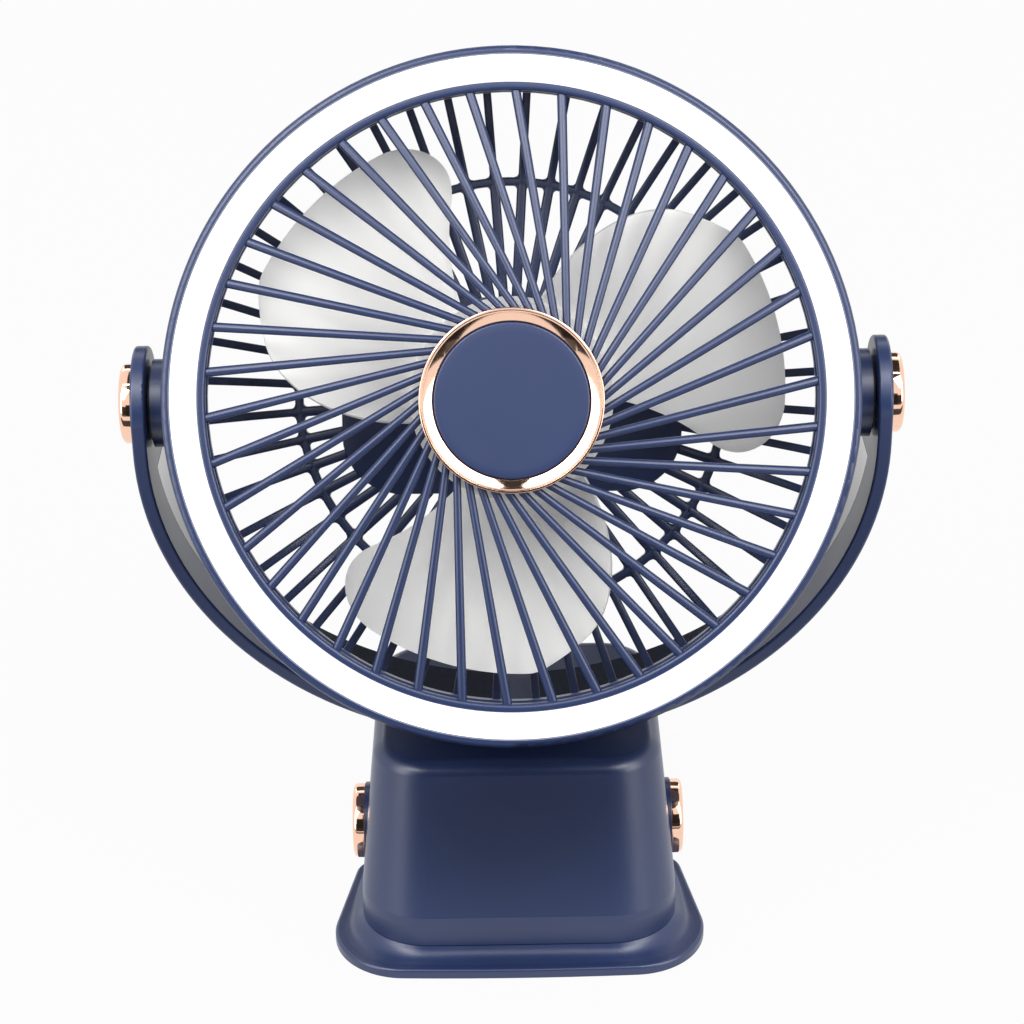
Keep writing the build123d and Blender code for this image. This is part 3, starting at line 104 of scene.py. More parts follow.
class FanGrilleSettings(bpy.types.PropertyGroup):
    """Sizes of the two grilles, in the head's own frame."""

    ring_outer: length("Ring outside", 69.6, "Outer radius of the front grille's ring")
    ring_inner: length("Ring inside", 67.7, "Inner radius of the front grille's ring")
    ring_front: length("Ring front", 17.6, "How far the ring's front lies before the pivot")
    ring_depth: length("Ring depth", 1.8, "Straight part of the ring's inner wall")
    ring_back: length("Ring back", 8.0, "How far the ring's back lies before the pivot")
    ring_taper: length("Ring taper", 1.0, "How far the ring's inner wall draws back towards its seat")
    hub_radius: length("Hub radius", 20.0, "Radius of the front grille's hub")
    hub_front: length("Hub front", 23.4, "How far the hub's front lies before the pivot")
    hub_back: length("Hub back", 19.6, "How far the hub's back lies before the pivot")
    rib_count: IntProperty(name="Front ribs", description="Number of front ribs", default=42)
    rib_first: bearing("First rib", -8.85, "Clock angle of the first front rib")
    rib_offset: length("Rib offset", 12.35, "How far each front rib passes from the fan's axis")
    rib_outer_width: length("Rib width outside", 2.1, "Width of a front rib at the ring")
    rib_inner_width: length("Rib width inside", 1.7, "Width of a front rib at the hub")
    rib_depth: length("Rib depth", 2.6, "Depth of a front rib")
    rib_bulge: length("Rib bulge", 1.0, "How far a front rib bows forward")
    rib_edge: length("Rib edge", 0.8, "Rounding of a front rib's edges")
    rear_count: IntProperty(name="Rear ribs", description="Number of rear ribs", default=48)
    rear_first: bearing("First rear rib", 3.75, "Clock angle of the first rear rib")
    rear_width: length("Rear rib width", 1.9, "Width of a rear rib outside the ring")
    spoke_width: length("Rear spoke width", 2.3, "Width of a rear rib inside the ring")
    rear_depth: length("Rear rib depth", 2.8, "Depth of a rear rib")
    rear_edge: length("Rear rib edge", 0.5, "Rounding of a rear rib's edges")
    rear_ring: length("Rear ring", 50.0, "Radius of the rear grille's ring")
    rear_ring_width: length("Rear ring width", 2.0, "Width of the rear grille's ring")
    crossing_round: length("Crossing fillet", 0.9, "Fillet where a rear rib crosses the ring")
    rear_rim_inner: length("Rear rim inside", 70.6, "Inner radius of the rear grille's rim")
    box_width: length("Box width", 80.0, "Width of the control box")
    box_height: length("Box height", 46.0, "Height of the control box")
    box_corner: length("Box corner", 14.0, "Corner radius of the control box")
    box_wall: length("Box wall", 2.0, "Wall of the control box")


class FanFinishSettings(bpy.types.PropertyGroup):
    """Colours and gloss of the fan's finishes."""

    navy: colour("Navy plastic", (0.022, 0.039, 0.118), "Satin plastic of the housings")
    navy_roughness: FloatProperty(
        name="Navy roughness", description="Roughness of the satin plastic", default=0.33, min=0, max=1
    )
    gold: colour("Rose gold", (0.97, 0.63, 0.47), "Plating of the knobs and the hub's ring")
    # The impeller's colour, which is also the colour of its painted glow
    blade: colour("Impeller grey", (0.94, 0.93, 0.9), "Plastic of the impeller")
    glow: colour("Light ring", (1.0, 1.0, 0.985), "Light of the ring")
    glow_strength: FloatProperty(
        name="Glow", description="Strength of the ring's light", default=1.1, min=0
    )


class FanSpringSettings(bpy.types.PropertyGroup):
    """Sizes of the clip's torsion spring, about its axle."""

    wire_radius: length("Wire radius", 0.8, "Radius of the spring's wire")
    coil_radius: length("Coil radius", 5.4, "Radius of the coil to the wire's middle")
    pitch: length("Pitch", 2.3, "Way along the axle of one turn")
    turns: IntProperty(
        name="Turns", description="Whole turns of the coil besides the part turn", default=5
    )
    reach: length("Leg reach", 30.0, "How far behind the axle the legs end")
    upper_rise: length("Upper leg rise", 14.0, "How far above the axle the upper leg ends")
    lower_rise: length("Lower leg rise", -16.2, "How far above the axle the lower leg ends")


class FanStageSettings(bpy.types.PropertyGroup):
    """Camera and lamps."""

    camera_place: FloatVectorProperty(
        name="Camera", description="Where the camera stands", subtype="TRANSLATION",
        default=(-0.0003, -0.5601, 0.3962),
    )
    camera_pitch: bearing("Pitch", 27.41, "How far the camera looks down")
    camera_roll: bearing("Roll", -0.88, "How far the camera leans")
    camera_lens: FloatProperty(name="Lens", description="Focal length in millimetres", default=95.66)
    side_power: power("Side lamps", 7.8, "Power of each side lamp")
    strip_power: power("Strips", 6.8, "Power of each low strip")
    back_power: power("Back lamp", 5.0, "Power of the back lamp")
    top_power: power("Top lamp", 1.0, "Power of the top strip")
    ambient: FloatProperty(
        name="Surroundings", description="Soft light from all round", default=0.12, min=0
    )


def deselect():
    """Leaves edit mode and clears the selection."""
    if bpy.context.object and bpy.context.object.mode != "OBJECT":
        bpy.ops.object.mode_set(mode="OBJECT")
    bpy.ops.object.select_all(action="DESELECT")


def close_mesh():
    """Merges doubles and points all faces outwards, then leaves edit mode."""
    bpy.ops.mesh.select_all(action="SELECT")
    bpy.ops.mesh.remove_doubles(threshold=MERGE_GAP)
    bpy.ops.mesh.normals_make_consistent(inside=False)
    bpy.ops.object.mode_set(mode="OBJECT")


def rounded(corners, closed=False):
    """The points of a profile whose corners, each (radius, height, rounding) in mm, are rounded."""
    points = []
    for index, (radius, height, size) in enumerate(corners):
        corner = Vector((radius, height)) * MM
        is_end = not closed and index in (0, len(corners) - 1)
        if is_end or not size:
            points.append(corner)
            continue
        before = (Vector(corners[index - 1][:2]) * MM - corner).normalized()
        after = (Vector(corners[(index + 1) % len(corners)][:2]) * MM - corner).normalized()
        half = before.angle(after) / 2
        centre = corner + (before + after).normalized() * (size * MM / sin(half))
        start = corner + before * (size * MM / tan(half)) - centre
        end = corner + after * (size * MM / tan(half)) - centre
        for step in range(ROUNDING_STEPS + 1):
            points.append(centre + start.lerp(end, step / ROUNDING_STEPS).normalized() * size * MM)
    if closed:
        points.append(points[0])
    return points


def turn(name, profile, sides, capped=False):
    """A turned piece about Z: a ring of edges drawn along its profile, ring by ring.

    A capped piece starts on a filled disc and ends in a point.
    """
    deselect()
    radius, height = profile[0]
    bpy.ops.mesh.primitive_circle_add(
        vertices=sides,
        radius=radius,
        fill_type="TRIFAN" if capped else "NOTHING",
        location=(0, 0, height),
    )
    piece = bpy.context.object
    piece.name = name
    bpy.ops.object.mode_set(mode="EDIT")
    bpy.ops.mesh.select_mode(type="EDGE")
    bpy.ops.mesh.select_all(action="SELECT")
    if capped:
        bpy.ops.mesh.region_to_loop()
    for (r0, z0), (r1, z1) in zip(profile, profile[1:]):
        bpy.ops.mesh.extrude_edges_move(TRANSFORM_OT_translate={"value": (0, 0, z1 - z0)})
        if r1 > 0:
            bpy.ops.transform.resize(value=(r1 / r0, r1 / r0, 1), center_override=(0, 0, 0))
        else:
            bpy.ops.mesh.merge(type="CENTER")
    close_mesh()
    bpy.ops.object.transform_apply()
    return piece


def draw_bar(name, stations, edge):
    """A bar along X with rounded edges, given by (x, z, width, depth) of its middle at each station."""
    deselect()
    x, z, width, depth = stations[0]
    bpy.ops.mesh.primitive_plane_add(size=1, rotation=(0, -pi / 2, 0), location=(x, 0, z))
    bar = bpy.context.object
    bar.name = name
    bar.scale = (depth, width, 1)
    bpy.ops.object.transform_apply()
    bpy.ops.object.mode_set(mode="EDIT")
    bpy.ops.mesh.select_mode(type="VERT")
    bpy.ops.mesh.select_all(action="SELECT")
    bpy.ops.mesh.bevel(offset=edge, segments=BAR_EDGE_STEPS, affect="VERTICES")
    bpy.ops.mesh.select_mode(type="FACE")
    bpy.ops.mesh.select_all(action="SELECT")
    for (x0, z0, w0, d0), (x1, z1, w1, d1) in zip(stations, stations[1:]):
        bpy.ops.mesh.extrude_region_move(TRANSFORM_OT_translate={"value": (x1 - x0, 0, z1 - z0)})
        bpy.ops.transform.resize(value=(1, w1 / w0, d1 / d0), center_override=(x1, 0, z1))
    close_mesh()
    return bar


def copy_round(piece, count):
    """Repeats a piece evenly about Z, in its own mesh."""
    deselect()
    piece.select_set(True)
    bpy.context.view_layer.objects.active = piece
    bpy.ops.object.mode_set(mode="EDIT")
    bpy.ops.mesh.select_all(action="SELECT")
    bpy.ops.mesh.spin(
        steps=count - 1,
        dupli=True,
        angle=2 * pi * (count - 1) / count,
        center=(0, 0, 0),
        axis=(0, 0, 1),
    )
    bpy.ops.object.mode_set(mode="OBJECT")


def join(name, *pieces):
    """Makes several pieces one."""
    deselect()
    for piece in pieces:
        piece.select_set(True)
    bpy.context.view_layer.objects.active = pieces[0]
    bpy.ops.object.join()
    pieces[0].name = name
    return pieces[0]


def settle(piece, place, body, slot, replaced, sharp=35):
    """Puts a piece in its place, smooths it and ties it to its slot, its body and the nodes it replaces.

    A piece that spans two bodies is given no body here.
    """
    deselect()
    piece.select_set(True)
    bpy.context.view_layer.objects.active = piece
    piece.matrix_world = place
    bpy.ops.object.transform_apply()
    bpy.ops.object.shade_smooth_by_angle(angle=radians(sharp))
    piece.data.materials.clear()
    piece.data.materials.append(finish(slot))
    if body:
        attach(piece, body)
    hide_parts(*replaced)


def apply_modifier(piece, kind, **values):
    """Adds a modifier with its values and applies it."""
    bpy.context.view_layer.objects.active = piece
    modifier = piece.modifiers.new(kind.lower(), kind)
    for key, value in values.items():
        setattr(modifier, key, value)
    bpy.ops.object.modifier_apply(modifier=modifier.name)


def round_edges(piece, size):
    """Rounds a piece's sharp edges by a size in millimetres."""
    apply_modifier(piece, "BEVEL", width=size * MM, segments=2, limit_method="ANGLE")


def blank_material(name):
    """A new material, its nodes and links, its shader and its object coordinates."""
    material = bpy.data.materials.new(f"{name}_finish")
    material.use_nodes = True
    nodes, links = material.node_tree.nodes, material.node_tree.links
    place = nodes.new("ShaderNodeTexCoord")
    return material, nodes, links, nodes["Principled BSDF"], place.outputs["Object"]


def noise(nodes, links, place, scale, detail=3.0, stretch=None):
    """A noise pattern, which a stretch can draw out along an axis."""
    texture = nodes.new("ShaderNodeTexNoise")
    texture.inputs["Scale"].default_value = scale
    texture.inputs["Detail"].default_value = detail
    if stretch:
        mapping = nodes.new("ShaderNodeMapping")
        mapping.inputs["Scale"].default_value = stretch
        links.new(place, mapping.inputs["Vector"])
        place = mapping.outputs["Vector"]
    links.new(place, texture.inputs["Vector"])
    return texture.outputs["Fac"]


def spread(nodes, links, value, low, high):
    """A pattern's values spread between two numbers."""
    node = nodes.new("ShaderNodeMapRange")
    node.inputs["From Min"].default_value = 0.2
    node.inputs["From Max"].default_value = 0.8
    node.inputs["To Min"].default_value = low
    node.inputs["To Max"].default_value = high
    links.new(value, node.inputs["Value"])
    return node.outputs["Result"]


def tint(nodes, links, value, base, change):
    """A colour that a pattern makes a little darker and lighter."""
    node = nodes.new("ShaderNodeMix")
    node.data_type = "RGBA"
    node.inputs["A"].default_value = (*[part * (1 - change) for part in base], 1)
    node.inputs["B"].default_value = (*[min(1, part * (1 + change)) for part in base], 1)
    links.new(spread(nodes, links, value, 0, 1), node.inputs["Factor"])
    return node.outputs["Result"]


def grain(nodes, links, shader, height, depth):
    """A fine relief."""
    bump = nodes.new("ShaderNodeBump")
    bump.inputs["Strength"].default_value = 1.0
    bump.inputs["Distance"].default_value = depth
    links.new(height, bump.inputs["Height"])
    links.new(bump.outputs["Normal"], shader.inputs["Normal"])


PLASTIC_GRAIN = 0.0000002
PLASTIC_WANDER = 0.015
METAL_GRAIN = 0.0000015
RUBBER_GRAIN = 0.00008
DIFFUSER_WHITE = (0.9, 0.9, 0.89)
NYLON_BLACK = (0.018, 0.018, 0.02)


def moulded(name, base, roughness, grain_depth=PLASTIC_GRAIN, change=0.05, coat=0.0, gloss=0.5):
    """Moulded plastic: faint flow clouds, a fine eroded grain and a roughness that wanders."""
    material, nodes, links, shader, place = blank_material(name)
    clouds = noise(nodes, links, place, scale=38.0, detail=0.5)
    pores = noise(nodes, links, place, scale=2600.0, detail=2.0)
    waves = noise(nodes, links, place, scale=90.0, detail=0.5)
    links.new(tint(nodes, links, clouds, base, change), shader.inputs["Base Color"])
    rough = spread(nodes, links, waves, roughness - PLASTIC_WANDER, roughness + PLASTIC_WANDER)
    links.new(rough, shader.inputs["Roughness"])
    grain(nodes, links, shader, pores, grain_depth)
    shader.inputs["Specular IOR Level"].default_value = gloss
    shader.inputs["Coat Weight"].default_value = coat
    shader.inputs["Coat Roughness"].default_value = 0.12
    return material


def painted_glow_plastic(name, base, painted_glow):
    """Plastic with a painted glow: it emits its own colour and so looks brighter, though it is no lamp."""
    material = moulded(name, base, 0.38, grain_depth=0.000001, change=0.03)
    shader = material.node_tree.nodes["Principled BSDF"]
    # Painted glow: the plastic emits its own colour, which brightens it as if it were lit
    shader.inputs["Emission Color"].default_value = (*base, 1)
    shader.inputs["Emission Strength"].default_value = painted_glow
    return material


def metal(name, base, roughness, stretch=None, change=0.05, grain_depth=METAL_GRAIN):
    """Bare or plated metal: fine drawn lines or polishing marks."""
    material, nodes, links, shader, place = blank_material(name)
    lines = noise(nodes, links, place, scale=900.0, detail=4.0, stretch=stretch)
    links.new(tint(nodes, links, lines, base, change), shader.inputs["Base Color"])
    links.new(spread(nodes, links, lines, roughness * 0.7, roughness * 1.3), shader.inputs["Roughness"])
    grain(nodes, links, shader, lines, grain_depth)
    shader.inputs["Metallic"].default_value = 1.0
    return material


def rubber(name, base):
    """Soft rubber: a dull, pebbled skin."""
    material, nodes, links, shader, place = blank_material(name)
    pebbles = nodes.new("ShaderNodeTexVoronoi")
    pebbles.inputs["Scale"].default_value = 900.0
    links.new(place, pebbles.inputs["Vector"])
    blotches = noise(nodes, links, place, scale=120.0)
    links.new(tint(nodes, links, blotches, base, change=0.2), shader.inputs["Base Color"])
    shader.inputs["Roughness"].default_value = 0.8
    grain(nodes, links, shader, pebbles.outputs["Distance"], RUBBER_GRAIN)
    return material


def glowing(name, base, strength):
    """The lit diffuser: cloudy white plastic, a little brighter between the chips."""
    material, nodes, links, shader, place = blank_material(name)
    soft = noise(nodes, links, place, scale=60.0)
    links.new(tint(nodes, links, soft, DIFFUSER_WHITE, change=0.03), shader.inputs["Base Color"])
    links.new(tint(nodes, links, soft, base, change=0.004), shader.inputs["Emission Color"])
    shader.inputs["Emission Strength"].default_value = strength
    shader.inputs["Roughness"].default_value = 0.45
    return material


def finish_settings():
    """The finish settings in use."""
    return bpy.context.scene.fan_finish


def slot_moulded(slot, roughness, **values):
    """A maker of a moulded plastic in its slot's own colour."""
    return lambda: moulded(slot, SLOT_COLOURS[slot], roughness, **values)


def slot_metal(slot, roughness, **values):
    """A maker of a bare metal in its slot's own colour."""
    return lambda: metal(slot, SLOT_COLOURS[slot], roughness, **values)


FINISHES = {
    "navy_plastic": lambda: moulded(
        "navy_plastic", finish_settings().navy, finish_settings().navy_roughness, gloss=0.72
    ),
    "dark_gloss": slot_moulded("dark_gloss", 0.14, gloss=0.42, coat=0.8),
    "rose_gold": lambda: metal(
        "rose_gold", finish_settings().gold, 0.07, change=0.03, grain_depth=0.0000004
    ),
    "light_white": lambda: glowing(
        "light_white", finish_settings().glow, finish_settings().glow_strength
    ),
    # The impeller's plastic, brightened by a painted glow of strength 0.1
    "fan_grey": lambda: painted_glow_plastic("fan_grey", finish_settings().blade, painted_glow=0.1),
    "rubber": lambda: rubber("rubber", SLOT_COLOURS["rubber"]),
    "nylon": lambda: moulded("nylon", NYLON_BLACK, 0.5),
    "steel": slot_metal("steel", 0.28),
    "spring_steel": slot_metal("spring_steel", 0.35),
    "core_steel": slot_metal("core_steel", 0.45, stretch=(1, 8, 8)),
    "magnet": slot_moulded("magnet", 0.6),
    "bush_bronze": slot_metal("bush_bronze", 0.4),
    "copper": slot_metal("copper", 0.3),
    "board_green": slot_moulded("board_green", 0.4, change=0.15),
    "board_white": slot_moulded("board_white", 0.5),
    "chip_yellow": slot_moulded("chip_yellow", 0.3),
    "switch_black": slot_moulded("switch_black", 0.5),
    "cell_wrap": slot_moulded("cell_wrap", 0.25, coat=0.4),
    "lens_clear": slot_moulded("lens_clear", 0.15, coat=0.5),
    "button_grey": slot_moulded("button_grey", 0.34),
}


def finish(slot):
    """The finish of a slot, made once."""
    return bpy.data.materials.get(f"{slot}_finish") or FINISHES[slot]()


FRONT_RIB_STEPS = 12
HUB_BITE = 2 * MM
RING_BITE = 1.2 * MM
HUB_DROP = 0.5 * MM
RING_DROP = 0.8 * MM


class FAN_OT_front_grille(bpy.types.Operator):
    """Ring, hub and slanted ribs of the front grille"""

    bl_idname = "fan.front_grille"
    bl_label = "Front grille"

    def execute(self, context):
        sizes = context.scene.fan_grille
        inside, outside = sizes.ring_inner / MM, sizes.ring_outer / MM
        back, front = sizes.ring_back / MM, sizes.ring_front / MM
        ring = turn("front_ring", rounded((
            (inside + sizes.ring_taper / MM, back, 0.2),
            (outside, back, 0.3),
            (outside, front, 0.45),
            (inside, front, 0.8),
            (inside, front - sizes.ring_depth / MM, 0.5),
        ), closed=True), sides=192)
        radius = sizes.hub_radius / MM
        back, front = sizes.hub_back / MM, sizes.hub_front / MM
        disc = turn("front_hub", rounded((
            (CORE_RADIUS, back, 0), (radius, back, 0.6), (radius, front, 0.5), (CORE_RADIUS, front, 0),
            (0, front, 0),
        )), sides=128, capped=True)
        inner = sqrt((sizes.hub_radius - HUB_BITE) ** 2 - sizes.rib_offset ** 2)
        outer = sqrt((sizes.ring_inner + RING_BITE) ** 2 - sizes.rib_offset ** 2)
        inner_front, outer_front = sizes.hub_front - HUB_DROP, sizes.ring_front - RING_DROP
        stations = []
        for step in range(FRONT_RIB_STEPS + 1):
            share = step / FRONT_RIB_STEPS
            place = inner + (outer - inner) * share
            front = inner_front + (outer_front - inner_front) * share
            front += 4 * sizes.rib_bulge * share * (1 - share)
            width = sizes.rib_inner_width + (sizes.rib_outer_width - sizes.rib_inner_width) * share
            stations.append((place, front - sizes.rib_depth / 2, width, sizes.rib_depth))
        rib = draw_bar("front_ribs", stations, sizes.rib_edge)
        rib.location = (0, -sizes.rib_offset, 0)
        bpy.ops.object.transform_apply()
        rib.rotation_euler = (0, 0, pi / 2 - sizes.rib_first)
        bpy.ops.object.transform_apply()
        copy_round(rib, sizes.rib_count)
        grille = join("front_grille_moulding", ring, disc, rib)
        settle(grille, HEAD_PLACE, "head", "navy_plastic", ["front_grille"])
        return {"FINISHED"}


# The rear grille's places in millimetres, in the head's own frame.
REAR_RIM_OUTER = 76.3
REAR_RIM_FRONT, REAR_RIM_BACK = -11.0, -13.2
REAR_RING_FRONT, REAR_RING_BACK = -22.7, -25.5
REAR_RING_MIDDLE = -24.1
REAR_RIB_STEPS = 8
REAR_RIB_BITE, REAR_RIB_START = 1.7, -12.1
REAR_RIB_BOW = (63.0, -20.3)
SPOKE_START = 0.2
SPOKE_END = (21, -25.2)
CROSSING_SINK = 0.15
TRAY_FRONT, TRAY_DEPTH, TRAY_HOLLOW, TRAY_EDGE = -22.5, 10.5, 8.5, 0.5
TRAY_CORNER_STEPS = 10
MOTOR_SLEEVE = ((12.25, -9.0, 0.3), (12.25, -22.5, 0), (14.15, -22.5, 0), (14.15, -9.0, 0.6))


def draw_crossing(sizes):
    """The filleted cross where a rear rib meets the ring, on X at the ring's radius."""
    deselect()
    size, half_ring = sizes.crossing_round, sizes.rear_ring_width / 2
    outline = []
    for side, rise in ((1, 1), (-1, 1), (-1, -1), (1, -1)):
        half_rib = (sizes.rear_width if side > 0 else sizes.spoke_width) / 2
        for step in (0, 1, 2, 3) if side == rise else (3, 2, 1, 0):
            angle = step * pi / 6
            outline.append((
                sizes.rear_ring + side * (half_ring + size * (1 - sin(angle))),
                rise * (half_rib + size * (1 - cos(angle))),
            ))
    front = REAR_RING_MIDDLE * MM + sizes.rear_depth / 2
    bpy.ops.mesh.primitive_circle_add(vertices=len(outline), fill_type="NGON")
    cross = bpy.context.object
    for vertex, (x, y) in zip(cross.data.vertices, outline):
        vertex.co = (x, y, front - CROSSING_SINK * MM)
    bpy.ops.object.mode_set(mode="EDIT")
    bpy.ops.mesh.select_mode(type="FACE")
    bpy.ops.mesh.select_all(action="SELECT")
    drop = 2 * CROSSING_SINK * MM - sizes.rear_depth
    bpy.ops.mesh.extrude_region_move(TRANSFORM_OT_translate={"value": (0, 0, drop)})
    close_mesh()
    return cross


class FAN_OT_rear_grille(bpy.types.Operator):
    """Rim, ribs, ring, control box tray and motor sleeve of the rear grille"""

    bl_idname = "fan.rear_grille"
    bl_label = "Rear grille"

    def execute(self, context):
        sizes = context.scene.fan_grille
        rim_inner = sizes.rear_rim_inner / MM
        rim = turn("rear_rim", rounded((
            (rim_inner, REAR_RIM_FRONT, 0.2), (rim_inner, REAR_RIM_BACK, 0.6),
            (REAR_RIM_OUTER, REAR_RIM_BACK, 0.7), (REAR_RIM_OUTER, REAR_RIM_FRONT, 0.1),
        ), closed=True), sides=192)
        middle, half_ring = sizes.rear_ring / MM, sizes.rear_ring_width / MM / 2
        ring = turn("rear_ring", rounded((
            (middle - half_ring, REAR_RING_FRONT, 0.5), (middle - half_ring, REAR_RING_BACK, 0.5),
            (middle + half_ring, REAR_RING_BACK, 0.5), (middle + half_ring, REAR_RING_FRONT, 0.5),
        ), closed=True), sides=144)
        sleeve = turn("motor_sleeve", rounded(MOTOR_SLEEVE, closed=True), sides=64)
        start, bow = Vector((rim_inner + REAR_RIB_BITE, REAR_RIB_START)), Vector(REAR_RIB_BOW)
        end = Vector((middle, REAR_RING_MIDDLE))
        pull = 4 * bow - start - end
        stations = []
        for step in range(REAR_RIB_STEPS + 1):
            share = step / REAR_RIB_STEPS
            point = start * (1 - share) ** 2 + pull * share * (1 - share) + end * share ** 2
            stations.append((point.x * MM, point.y * MM, sizes.rear_width, sizes.rear_depth))
        for place, height in ((middle - SPOKE_START, REAR_RING_MIDDLE), SPOKE_END):
            stations.append((place * MM, height * MM, sizes.spoke_width, sizes.rear_depth))
        rib = draw_bar("rear_ribs", stations, sizes.rear_edge)
        rib = join("rear_ribs", rib, draw_crossing(sizes))
        rib.rotation_euler = (0, 0, pi / 2 - sizes.rear_first)
        bpy.ops.object.transform_apply()
        copy_round(rib, sizes.rear_count)
        deselect()
        bpy.ops.mesh.primitive_plane_add(size=1, location=(0, 0, TRAY_FRONT * MM))
        tray = bpy.context.object
        tray.scale = (sizes.box_width, sizes.box_height, 1)
        bpy.ops.object.transform_apply()
        bpy.ops.object.mode_set(mode="EDIT")
        bpy.ops.mesh.select_mode(type="VERT")
        bpy.ops.mesh.select_all(action="SELECT")
        bpy.ops.mesh.bevel(offset=sizes.box_corner, segments=TRAY_CORNER_STEPS, affect="VERTICES")
        bpy.ops.mesh.select_mode(type="FACE")
        bpy.ops.mesh.select_all(action="SELECT")
        bpy.ops.mesh.extrude_region_move(TRANSFORM_OT_translate={"value": (0, 0, -TRAY_DEPTH * MM)})
        bpy.ops.mesh.inset(thickness=sizes.box_wall)
        bpy.ops.mesh.extrude_region_move(TRANSFORM_OT_translate={"value": (0, 0, TRAY_HOLLOW * MM)})
        close_mesh()
        round_edges(tray, TRAY_EDGE)
        grille = join("rear_grille_moulding", rim, ring, sleeve, rib, tray)
        settle(grille, HEAD_PLACE, "head", "navy_plastic", ["rear_grille"])
        return {"FINISHED"}


LIGHT_RING = ((69.8, 14.4, 0.1), (75.6, 14.4, 0.1), (75.6, 17.6, 0.5), (69.8, 17.6, 0.5))


class FAN_OT_light_ring(bpy.types.Operator):
    """The lit ring between the rim and the grille"""

    bl_idname = "fan.light_ring"
    bl_label = "Light ring"

    def execute(self, context):
        ring = turn("light_ring", rounded(LIGHT_RING, closed=True), sides=192)
        settle(ring, HEAD_PLACE, "head", "light_white", ["light_diffuser"])
        return {"FINISHED"}


HUB_RING = (
    (17.3, 23.4, 0.1), (20.3, 23.4, 0.2), (20.3, 25.9, 0.25), (19.75, 26.0, 0.1),
    (19.6, 25.75, 0.05), (19.3, 25.75, 0.1), (17.45, 25.0, 0.1), (17.3, 24.83, 0.1),
)
HUB_CAP = (
    (CORE_RADIUS, 23.4, 0), (17.1, 23.4, 0.1), (17.1, 25.0, 0.4), (15, 24.95, 8), (11, 24.88, 8),
    (6, 24.83, 8), (CORE_RADIUS, 24.81, 0), (0, 24.81, 0),
)


class FAN_OT_hub_trim(bpy.types.Operator):
    """Plated ring and plain cap on the front hub"""

    bl_idname = "fan.hub_trim"
    bl_label = "Hub trim"

    def execute(self, context):
        ring = turn("hub_ring", rounded(HUB_RING, closed=True), sides=160)
        settle(ring, HEAD_PLACE, "head", "rose_gold", ["hub_trim_ring"], sharp=50)
        cap = turn("hub_plain_cap", rounded(HUB_CAP), sides=128, capped=True)
        settle(cap, HEAD_PLACE, "head", "navy_plastic", ["hub_cap"])
        return {"FINISHED"}


# The knobs' name, body and height in millimetres.
KNOBS = (("pivot_knob", "yoke", 3.3), ("clip_knob", "column", 3.2))
KNOB_RADIUS, KNOB_FACE, KNOB_FOOT, KNOB_CROWN = 9.1, 5.5, 0.02, 0.25


class FAN_OT_knobs(bpy.types.Operator):
    """The plated knobs of the tilt pivots and of the clip's axle"""

    bl_idname = "fan.knobs"
    bl_label = "Knobs"

    def execute(self, context):
        for kind, body, height in KNOBS:
            for name, side in (("left", -1), ("right", 1)):
                node = f"{kind}_{name}"
                low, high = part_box(node)
                seat = low.x if side > 0 else high.x
                middle = (low + high) / 2
                knob = turn(f"{node}_plated", rounded((
                    (CORE_RADIUS, KNOB_FOOT, 0), (KNOB_RADIUS, KNOB_FOOT, 0.25),
                    (KNOB_RADIUS, height - KNOB_CROWN, 1.1), (KNOB_FACE, height, 12),
                    (CORE_RADIUS, height, 0), (0, height, 0),
                )), sides=96, capped=True)
                facing = Matrix.Rotation(side * pi / 2, 4, "Y")
                place = Matrix.Translation((seat, middle.y, middle.z)) @ facing
                settle(knob, place, body, "rose_gold", [node], sharp=50)
        return {"FINISHED"}


# The blades' sizes in millimetres. An edge's points are a share of the tip radius and a clock angle.
BLADE_COUNT = 3
BLADE_GRID = (20, 28)
BLADE_THICKNESS, BLADE_EDGE = 1.5, 0.5
BLADE_TIP = 62.6
BLADE_ROOT_SHARE = 0.33
BLADE_MIDDLE = -55.0
PITCH_START, PITCH_END = 12.0, BLADE_TIP + 2
ROOT_PITCH, TIP_PITCH = 0.42, 0.24
BLADE_CROWN, CROWN_HALF_WIDTH = 2.0, 48.0
LEADING_EDGE = (
    (0.33, -30.0), (0.414, -27.5), (0.593, -21.8), (0.762, -16.0), (0.842, -15.3),
    (0.912, -17.1), (0.967, -20.8), (1.0, -28.3),
)
TRAILING_EDGE = (
    (0.33, -104.0), (0.604, -94.1), (0.784, -85.6), (0.879, -79.1), (0.927, -73.6),
    (0.971, -68.1), (1.0, -62.6),
)
IMPELLER_HUB = (
    (CORE_RADIUS, 9.0, 0), (20.9, 9.0, 1.0), (20.9, -12.0, 0.3), (22.9, -12.0, 0.3),
    (22.9, 11.0, 3.5), (CORE_RADIUS, 11.0, 0), (0, 11.0, 0),
)


def edge_angle(table, share):
    """The clock angle of a blade's edge at a share of the tip radius.

    The edge is a smooth curve that passes the table's points and rounds into the tip.
    """
    knots = [sqrt(1 - entry) for entry, angle in table]
    angles = [angle for entry, angle in table]
    place = sqrt(max(0, 1 - share))
    last = len(knots) - 2
    index = next((i for i in range(last + 1) if place >= knots[i + 1]), last)

    def slope(i):
        before, after = max(i - 1, 0), min(i + 1, last + 1)
        return (angles[after] - angles[before]) / (knots[after] - knots[before])

    run = knots[index + 1] - knots[index]
    t = (place - knots[index]) / run
    return (
        angles[index] * (1 + 2 * t) * (1 - t) ** 2 + angles[index + 1] * t * t * (3 - 2 * t)
        + run * (slope(index) * t * (1 - t) ** 2 - slope(index + 1) * t * t * (1 - t))
    )


